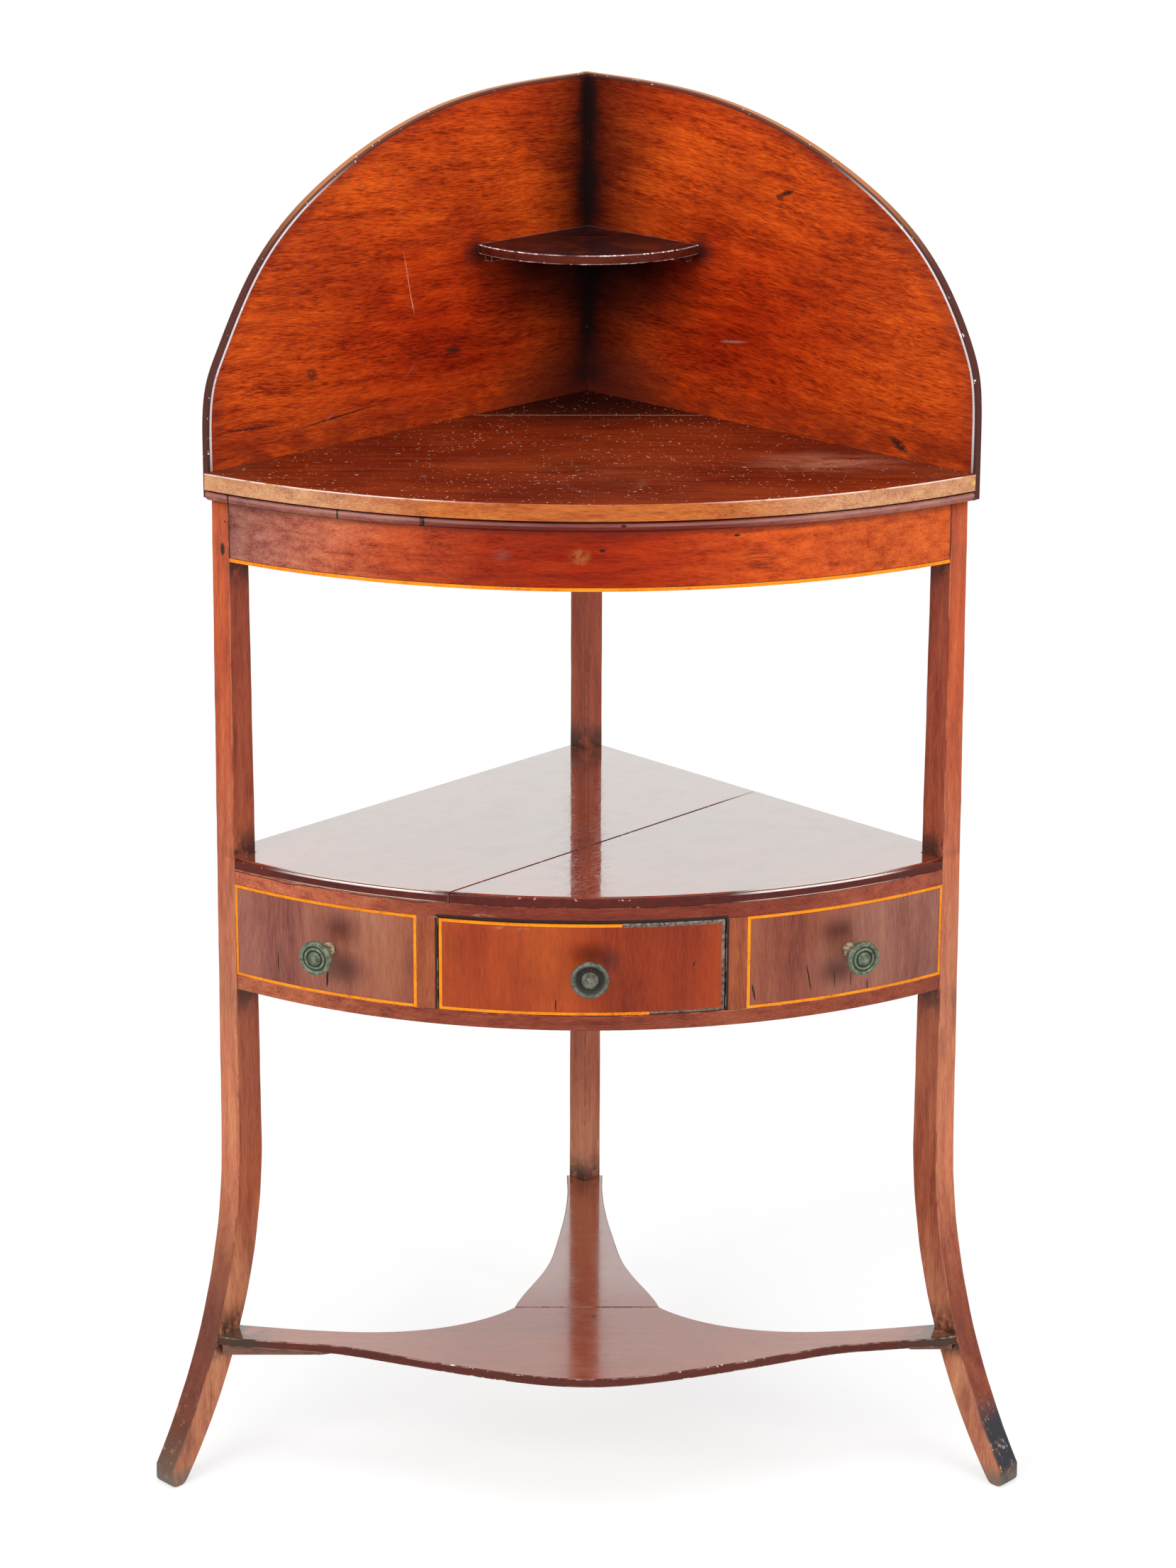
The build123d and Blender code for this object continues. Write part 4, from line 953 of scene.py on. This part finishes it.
stain = place.spot((-0.0085, -0.385, 0.7995), (0.011, 0.2, 0.0085), soft=0.7)
stain *= (place * 220).noise(4.0, 0.7).between(0.35, 0.6)
colour = (stain * 0.4).mix(colour, (0.50, 0.20, 0.06))
smudge = place.spot((-0.068, -0.38, 0.7995), (0.010, 0.2, 0.006), soft=1.0)
colour = (smudge * 0.3).mix(colour, (0.22, 0.10, 0.10))
dent = place.spot((0.0086, -0.384, 0.8042), (0.0030, 0.2, 0.0016), soft=0.4)
dent += place.spot((0.1115, -0.372, 0.8133), (0.003, 0.2, 0.0012), soft=0.5)
dent += abs(across).between(0.2812, 0.2826) * 0.85
colour = dent.between(0.0, 1.0).mix(colour, (0.03, 0.012, 0.008))
top_shadow = height.between(0.8135, 0.8185)
colour = (top_shadow * 0.5).mix(colour, (0.06, 0.012, 0.01))
close_finish(place, colour, place.sheen(30, 0.24), relief - dent * 6, shine=0.08, coat=0.02)
eased("frieze_rail", "stand", frieze_finish, 0.4 * mm)
dress(("frieze_string",), string_finish)
dress(("top_rail_right", "top_glue_blocks"), inner_right)
dress(("top_rail_left",), inner_left)

# Bead: a half-round moulding of darker wood between frieze and top, in two lengths. Glued breaks
# cross it at the left. A highlight is painted along its crown and towards its ends.
bead_finish, place, across, height = new_finish("bead_wood", "X", "Z")
# The bead is painted paler towards its ends, as a painted lamp highlight.
bead_tone_and_highlights = abs(across).between(0.08, 0.2).mix((0.13, 0.010, 0.004), (0.28, 0.085, 0.060))
colour, relief = mahogany(place, level_grain, bead_tone_and_highlights, shift=(0, 0, 0.4), sway=0.002)
cut = abs(across + 0.1281).between(0.0016, 0.0006)
for glued_at in (0.1947, 0.2826):
    cut += abs(across + glued_at).between(0.0012, 0.0004) * 0.8
cut += height.between(0.8258, 0.8268) * 0.9
knot = place.spot((0.0247, -0.384, 0.8241), (0.003, 0.2, 0.0016))
# Painted highlight: a pale band along the bead's crown.
shine = abs(height - 0.8244).between(0.0017, 0.0004) * (place * (14, 14, 1)).noise(2.0, 0.5)
colour = (shine * 0.5).mix(colour, (0.50, 0.28, 0.26))
colour = (cut + knot * 0.8).between(0.0, 1.0).mix(colour, gap_black)
close_finish(place, colour, place.sheen(40, 0.22), relief, shine=0.15, coat=0.08)
for name in ("bead_left", "bead_right"):
    eased(name, "stand", bead_finish, 1.5 * mm, segments=4)

# Top: two mahogany boards butted across the corner, with a square front edge that has worn to bare
# tan wood. Its face is dull from water and soap, scuffed in the middle and speckled with dust.
top_finish, place, across, depth, edge = new_finish("top_mahogany", "X", "Y", "edge")
blotch = (place * (9, 16, 1)).noise()
top_tone = blotch.between(0.35, 0.65).mix((0.125, 0.012, 0.002), (0.185, 0.022, 0.004))
colour, relief = mahogany(place, level_grain, top_tone, shift=(0, 0, 0.2), sway=0.01)
shade = depth.between(-0.135, -0.055)
colour = (shade * 0.85).mix(colour, (0.020, 0.004, 0.003))
scrub = (place * (30, 110, 60)).noise(5.0, 0.7)
worn_face = place.spot((0.02, -0.27, 0.8414), (0.17, 0.09, 0.02), soft=0.9)
colour = (worn_face * scrub.between(0.45, 0.7) * 0.2).mix(colour, (0.30, 0.11, 0.05))
pale_right = place.spot((0.19, -0.25, 0.8414), (0.09, 0.05, 0.02), soft=1.0)
colour = (pale_right * scrub.between(0.32, 0.6) * 0.6).mix(colour, (0.42, 0.17, 0.10))
basin = abs(place.laid((0.0093, -0.3165, 0.84), size=(1, 1, 40)).length() - 0.032)
basin = basin.between(0.007, 0.0) * scrub.between(0.4, 0.6)
colour = (basin * 0.13).mix(colour, (0.34, 0.17, 0.10))
dusty = (place * 14).noise().between(0.38, 0.6) * 0.7 + 0.3
specks = (place * 350).noise(2.0, 0.5).between(0.685, 0.71) * dusty
specks += (place * (90, 260, 100)).noise(1.0, 0.5).between(0.80, 0.81)
colour = (specks.between(0.0, 1.0) * 0.8).mix(colour, (0.72, 0.6, 0.5))
joint_line = abs(depth + 0.0831).between(0.0007, 0.0002)
joint_line *= abs(across).between(0.098, 0.094)
colour = (joint_line * 0.85).mix(colour, (0.60, 0.46, 0.34))
foot = abs(across).between(0.24, 0.29)
colour = (foot * scrub.between(0.4, 0.6) * 0.2).mix(colour, (0.30, 0.12, 0.06))
edge_tone = abs(across + 0.01).between(0.09, 0.22).mix((0.48, 0.125, 0.028), (0.56, 0.26, 0.13))
bare = mahogany(
    place, level_grain, edge_tone, shift=(0, 0, 0.7), sway=0.002, cloudy=0.15, strength=0.8
)[0]
soiled = (place * (24, 24, 90)).noise(4.0, 0.65).between(0.55, 0.72)
bare = (soiled * 0.25).mix(bare, (0.17, 0.05, 0.022))
yellow = place.spot((0.301, -0.289, 0.8345), (0.004, 0.01, 0.003), soft=0.8)
bare = yellow.mix(bare, (0.72, 0.45, 0.12))
# Painted highlight: a pale line along the upper arris of the front edge, away from the middle.
top_arris_highlight = place.part("Z").between(0.8397, 0.8405) * abs(across).between(0.06, 0.15)
top_arris_highlight *= (place * (30, 30, 1)).noise().between(0.34, 0.46)
bare = (top_arris_highlight * 0.85).mix(bare, (0.82, 0.64, 0.57))
colour = edge.mix(colour, bare)
lit = 0.5 - dusty * 0.08 - worn_face * scrub.between(0.4, 0.7) * 0.14 - edge * 0.12
close_finish(place, colour, lit, relief * 0.7 + specks * 3 + scrub * 0.8, shine=0.1)
for name in ("top_board_front", "top_board_rear"):
    eased(name, "stand", top_finish, 0.5 * mm)

# Backboards: two arched mahogany boards that stand on the top board's edges and meet in the corner,
# with a rounded front arris. Steel screws through their backs hold them.
springing = 866 * mm
arch_rise = 245 * mm


def wall_finish(name, hand, turn, reach, marks):
    """Finish of a backboard: bright to its outer end, with soot and painted shade in the corner and
    by the shelf.

    Its back is a duller brown. Highlights are painted on its front arris and on its edge where it
    faces up.
    """
    finish, place, rubbed, edge = new_finish(name, "worn", "edge")
    wall = place.laid((0, corner_y, 0), (0, 0, turn))
    along = wall.part("X")
    height = wall.part("Z")
    behind = abs(wall.part("Y"))
    region = (wall * (11, 1, 16)).noise(4.0, 0.6)
    ragged = (wall * (24, 1, 30)).noise(4.0, 0.65)
    deep = (wall + (ragged - 0.5) * (0.12, 0, 0.10)).spot(
        (0.17, 0, 0.925), (0.24, 1.0, 0.15), soft=1.0
    )
    middle = deep.mix((0.60, 0.074, 0.007), (0.43, 0.026, 0.002))
    middle = (region.between(0.40, 0.64) * 0.5).mix(middle, middle * (0.55, 0.36, 0.5))
    middle = height.between(1.05, 1.10).mix(middle, middle * (0.9, 0.75, 0.85))
    colour, relief = mahogany(
        place, (0, 0.07 * hand, turn), middle, shift=(0.1 * hand, corner_y, 0.3),
        sway=0.014, cloudy=0.14, ribbony=0.36, pores=0.6, strength=1.4,
    )
    flame = (wall.laid((0, 0, 0), (0, 0.12, 0)) * (52, 1, 420)).noise(5.0, 0.72)
    streak = flame.between(0.53, 0.66) * region.between(0.36, 0.54)
    colour = (streak * 0.5).mix(colour, (0.14, 0.014, 0.006))
    bright = flame.between(0.46, 0.32) * region.between(0.60, 0.42)
    colour = (bright * 0.4).mix(colour, (0.85, 0.16, 0.012))
    outline = (wall.laid((0, 0, springing), size=(reach, 1, arch_rise)) * (1, 0, 1)).length()
    outline = outline - (height - springing) * (0.04 / arch_rise) + (ragged - 0.5) * 0.05
    rim = outline.between(0.955, 0.995) * (ragged * 0.9 + 0.3)
    colour = (rim * 0.5).mix(colour, (0.13, 0.018, 0.012))
    jagged = (ragged - 0.5) * 0.03
    faced = behind.between(0.007, 0.004)
    colour = faced.mix(colour * (0.42, 0.9, 2.2), colour)
    # Soot and painted shade darken the board towards the corner, and it is near black in the corner
    # itself.
    soot_and_shade = (along + jagged).between(0.1 + 0.015 * hand, -0.01) * faced
    colour = soot_and_shade.mix(colour, colour * (0.10, 0.06, 0.2))
    black = (along + jagged).between(0.018, 0.002) * faced
    colour = (black * 0.95).mix(colour, (0.012, 0.005, 0.005))
    # Soot and painted shade under the corner shelf.
    under = height.strip(0.875, 0.968, 0.976, 0.985) * faced
    under *= (along + ragged * 0.04).between(0.18, 0.08)
    colour = (under * 0.95).mix(colour, (0.012, 0.003, 0.003))
    # Soot and painted shade in the low corner by the top board.
    low_corner = height.between(0.905, 0.85) * (along + jagged).between(0.12, 0.05)
    colour = (low_corner * faced * 0.6).mix(colour, (0.05, 0.010, 0.008))
    halo = wall.spot((0.131, 0, 0.979), (0.022, 0.2, 0.020), soft=1.0)
    colour = (halo * faced * 0.85).mix(colour, (0.03, 0.008, 0.008))
    foot = height.between(0.885, 0.843) * (wall * (30, 1, 60)).noise(4.0, 0.6).between(0.3, 0.6)
    colour = (foot * 0.6).mix(colour, (0.15, 0.015, 0.006))
    damage = 0.0
    for at, size, lean, tint, strength in marks:
        mark = wall.spot((at[0], 0, at[1]), (size[0], 0.2, size[1]), (0, lean, 0), soft=0.7)
        mark *= faced * (wall * 260).noise().between(0.25, 0.5) * strength
        colour = mark.mix(colour, tint)
        damage += mark
    # Painted light: the board's edge is painted orange where it faces up near the top of the arch,
    # and dark lower down.
    upper = height.between(0.99, 1.07)
    edge_tone = upper.mix((0.09, 0.025, 0.018), (0.52, 0.19, 0.07))
    colour = edge.mix(colour, (region * 0.5).mix(edge_tone, edge_tone * 0.5))
    front_arris = behind.between(0.0026, 0.0022) * (edge + rubbed).between(0, 0.5)
    # Painted highlight: a pale line along the front arris of the arch.
    glint = rubbed * behind.between(0.0010, 0.0004) * along.between(0.02, 0.1)
    glint *= height.between(1.075, 1.03) * ragged.between(0.3, 0.42)
    colour = (front_arris * 0.85).mix(colour, (0.06, 0.016, 0.014))
    colour = (glint * 0.65).mix(colour, (0.78, 0.75, 0.80))
    nicks = (wall * 170).noise().between(0.66, 0.69) * rubbed
    colour = nicks.mix(colour, (0.85, 0.72, 0.68))
    close_finish(
        place, colour, region * 0.2 + 0.5 - faced * 0.22 + soot_and_shade * 0.2, relief - damage * 2,
        shine=0.1, coat=glint * 0.4, coat_roughness=0.12, coat_bend=1.7,
    )
    return finish


scratch_tint = (0.66, 0.26, 0.15)
knot_tint = (0.045, 0.012, 0.008)
blue_tint = (0.20, 0.12, 0.16)
left_wall = wall_finish("left_backboard_mahogany", -1, -3 * math.pi / 4, 0.421, (
    ((0.2083, 0.968), (0.0008, 0.029), 0.19, scratch_tint, 0.8),
    ((0.2035, 0.945), (0.0008, 0.012), 0.24, (0.72, 0.36, 0.24), 0.8),
    ((0.1574, 0.8994), (0.012, 0.0038), -0.15, knot_tint, 0.9),
    ((0.3132, 0.9016), (0.008, 0.008), 0.7, (0.10, 0.016, 0.011), 0.8),
    ((0.3800, 0.8688), (0.040, 0.0014), -0.05, knot_tint, 1.0),
    ((0.2830, 0.8640), (0.064, 0.0010), 0.08, knot_tint, 1.0),
    ((0.2950, 0.8645), (0.0006, 0.0095), -0.97, blue_tint, 1.0),
    ((0.2060, 0.8900), (0.0006, 0.010), -0.8, blue_tint, 0.7),
))
right_wall = wall_finish("right_backboard_mahogany", 1, -math.pi / 4, 0.4248, (
    ((0.2245, 1.0385), (0.010, 0.0032), -0.3, knot_tint, 1.0),
    ((0.2170, 1.0345), (0.006, 0.0036), 0.2, knot_tint, 0.9),
    ((0.1689, 0.9087), (0.020, 0.0016), -0.12, (0.34, 0.20, 0.155), 0.65),
    ((0.1595, 0.9037), (0.0035, 0.0018), 0.0, (0.10, 0.02, 0.01), 0.9),
    ((0.3479, 0.8512), (0.015, 0.0052), 0.5, knot_tint, 1.0),
    ((0.4032, 0.9687), (0.006, 0.0009), 0.5, knot_tint, 1.0),
))
for name, hand, finish in (("backboard_left", -1, left_wall), ("backboard_right", 1, right_wall)):
    eased(
        name, "stand", finish, 0.9 * mm, segments=3,
        flat=(1 / root_two, hand / root_two, 0),
    )
dress(("backboard_screws",), steel_finish)

# Corner shelf: a quadrant of mahogany on two cleats, dark with soot and grey with dust along the
# walls, its front edge nicked and rubbed, with a painted highlight along it.
small_finish, place, edge, rubbed = new_finish("corner_shelf_mahogany", "edge", "worn")
patch = (place * (30, 30, 60)).noise().between(0.48, 0.66)
small_tone = patch.mix((0.022, 0.006, 0.006), (0.065, 0.010, 0.004))
small_tone = edge.mix(small_tone, (0.095, 0.014, 0.007))
colour, relief = mahogany(place, level_grain, small_tone, shift=(0, 0, 0.9), sway=0.005)
# Painted highlight: pale streaks along the rubbed front arris.
glint = rubbed * (place * (50, 50, 1)).noise().between(0.40, 0.55)
colour = (glint * 0.7).mix(colour, (0.48, 0.34, 0.32))
nicks = (place * 200).noise().between(0.54, 0.58) * rubbed
colour = nicks.mix(colour, (0.85, 0.78, 0.75))
against_wall = abs(place.part("X")) + place.part("Y")
dust = against_wall.between(0.0095, 0.0125) * (1 - edge) * (place * 200).noise()
colour = (dust * 0.9).mix(colour, (0.26, 0.24, 0.24))
close_finish(
    place, colour, (place * 40).noise(4.0, 0.6) * 0.25 + 0.26, relief - nicks * 5, shine=0.08,
    coat=rubbed * 0.2,
)
eased("corner_shelf", "stand", small_finish, 0.8 * mm, segments=3)
for name in ("corner_cleat_left", "corner_cleat_right"):
    eased(name, "stand", small_finish, 0.5 * mm)

# Room: a pale floor that fades into a white background, soft light from all round, a large soft
# lamp at the front left, a weaker one at the right and one overhead.
form = bmesh.new()
bmesh.ops.create_circle(form, cap_ends=True, segments=96, radius=2.6)
floor_mesh = bpy.data.meshes.new("floor")
form.to_mesh(floor_mesh)
form.free()
floor = bpy.data.objects.new("floor", floor_mesh)
bpy.context.scene.collection.objects.link(floor)
floor.location = (0, -0.2, -0.0002)
floor_finish, place = new_finish("pale_floor")
looked_at = place.node("ShaderNodeLightPath", {}, {}, "Is Camera Ray")
far_off = place.length().between(0.75, 1.7)
paint = place.node("ShaderNodeBsdfDiffuse", {}, {"Color": (0.86, 0.86, 0.86, 1)})
pale = place.node("ShaderNodeEmission", {}, {"Color": (1, 1, 1, 1), "Strength": 1.2})
near_floor = place.node("ShaderNodeMixShader", {}, {0: looked_at * 0.547, 1: paint, 2: pale})
white = place.node("ShaderNodeEmission", {}, {"Color": (1, 1, 1, 1), "Strength": 1.0})
blend = place.node(
    "ShaderNodeMixShader", {}, {0: far_off * looked_at, 1: near_floor, 2: white}
)
place.node("ShaderNodeOutputMaterial", {}, {"Surface": blend}, None)
floor_mesh.materials.append(floor_finish)

world = bpy.data.worlds.new("studio")
bpy.context.scene.world = world
world.use_nodes = True
world.node_tree.nodes.clear()
path = world.node_tree.nodes.new("ShaderNodeLightPath")
seen = Wire(world.node_tree, path.outputs["Is Camera Ray"])
for ray in ("Is Glossy Ray", "Is Transmission Ray"):
    seen = seen.sum("MAXIMUM", seen, Wire(world.node_tree, path.outputs[ray]))
level = seen * 0.45 + 0.55
sky = level.node("ShaderNodeBackground", {}, {"Color": (1, 1, 1, 1), "Strength": level})
sky.node("ShaderNodeOutputWorld", {}, {"Surface": sky}, None)

for name, spot, aim, size, power in (
    ("lamp_front_left", (-2.2, -2.6, 2.3), (0, -0.1, 0.7), 1.8, 60),
    ("lamp_front_right", (2.4, -2.2, 1.6), (0, -0.1, 0.6), 1.8, 40),
    ("lamp_above", (0.0, -0.6, 3.2), (0, -0.1, 0.6), 2.0, 30),
):
    lamp = bpy.data.lights.new(name, "AREA")
    lamp.shape = "SQUARE"
    lamp.size = size
    lamp.energy = power
    held = bpy.data.objects.new(name, lamp)
    bpy.context.scene.collection.objects.link(held)
    held.location = spot
    held.rotation_euler = (Vector(aim) - Vector(spot)).to_track_quat("-Z", "Y").to_euler()
    held.visible_camera = False

# Camera: at a standing photographer's eye, well above the backboards, looking down a little, with
# the lens shifted to frame the whole stand.
eye = (-0.02805, -3.2257, 1.5566)
swing = math.radians(-0.518)
tilt = math.radians(-15.072)
roll = math.radians(-0.201)
camera_data = bpy.data.cameras.new("camera")
camera = bpy.data.objects.new("camera", camera_data)
bpy.context.scene.collection.objects.link(camera)
bpy.context.scene.camera = camera
camera_data.sensor_width = 36
camera_data.lens = 88.754
camera_data.shift_y = -0.1383
camera_data.dof.use_dof = False
camera.matrix_world = (
    Matrix.Translation(eye)
    @ Matrix.Rotation(swing, 4, "Z")
    @ Matrix.Rotation(tilt, 4, "X")
    @ Matrix.Rotation(roll, 4, "Y")
    @ Matrix.Rotation(math.pi / 2, 4, "X")
)
bpy.context.scene.view_settings.view_transform = "Standard"

bpy.context.view_layer.update()
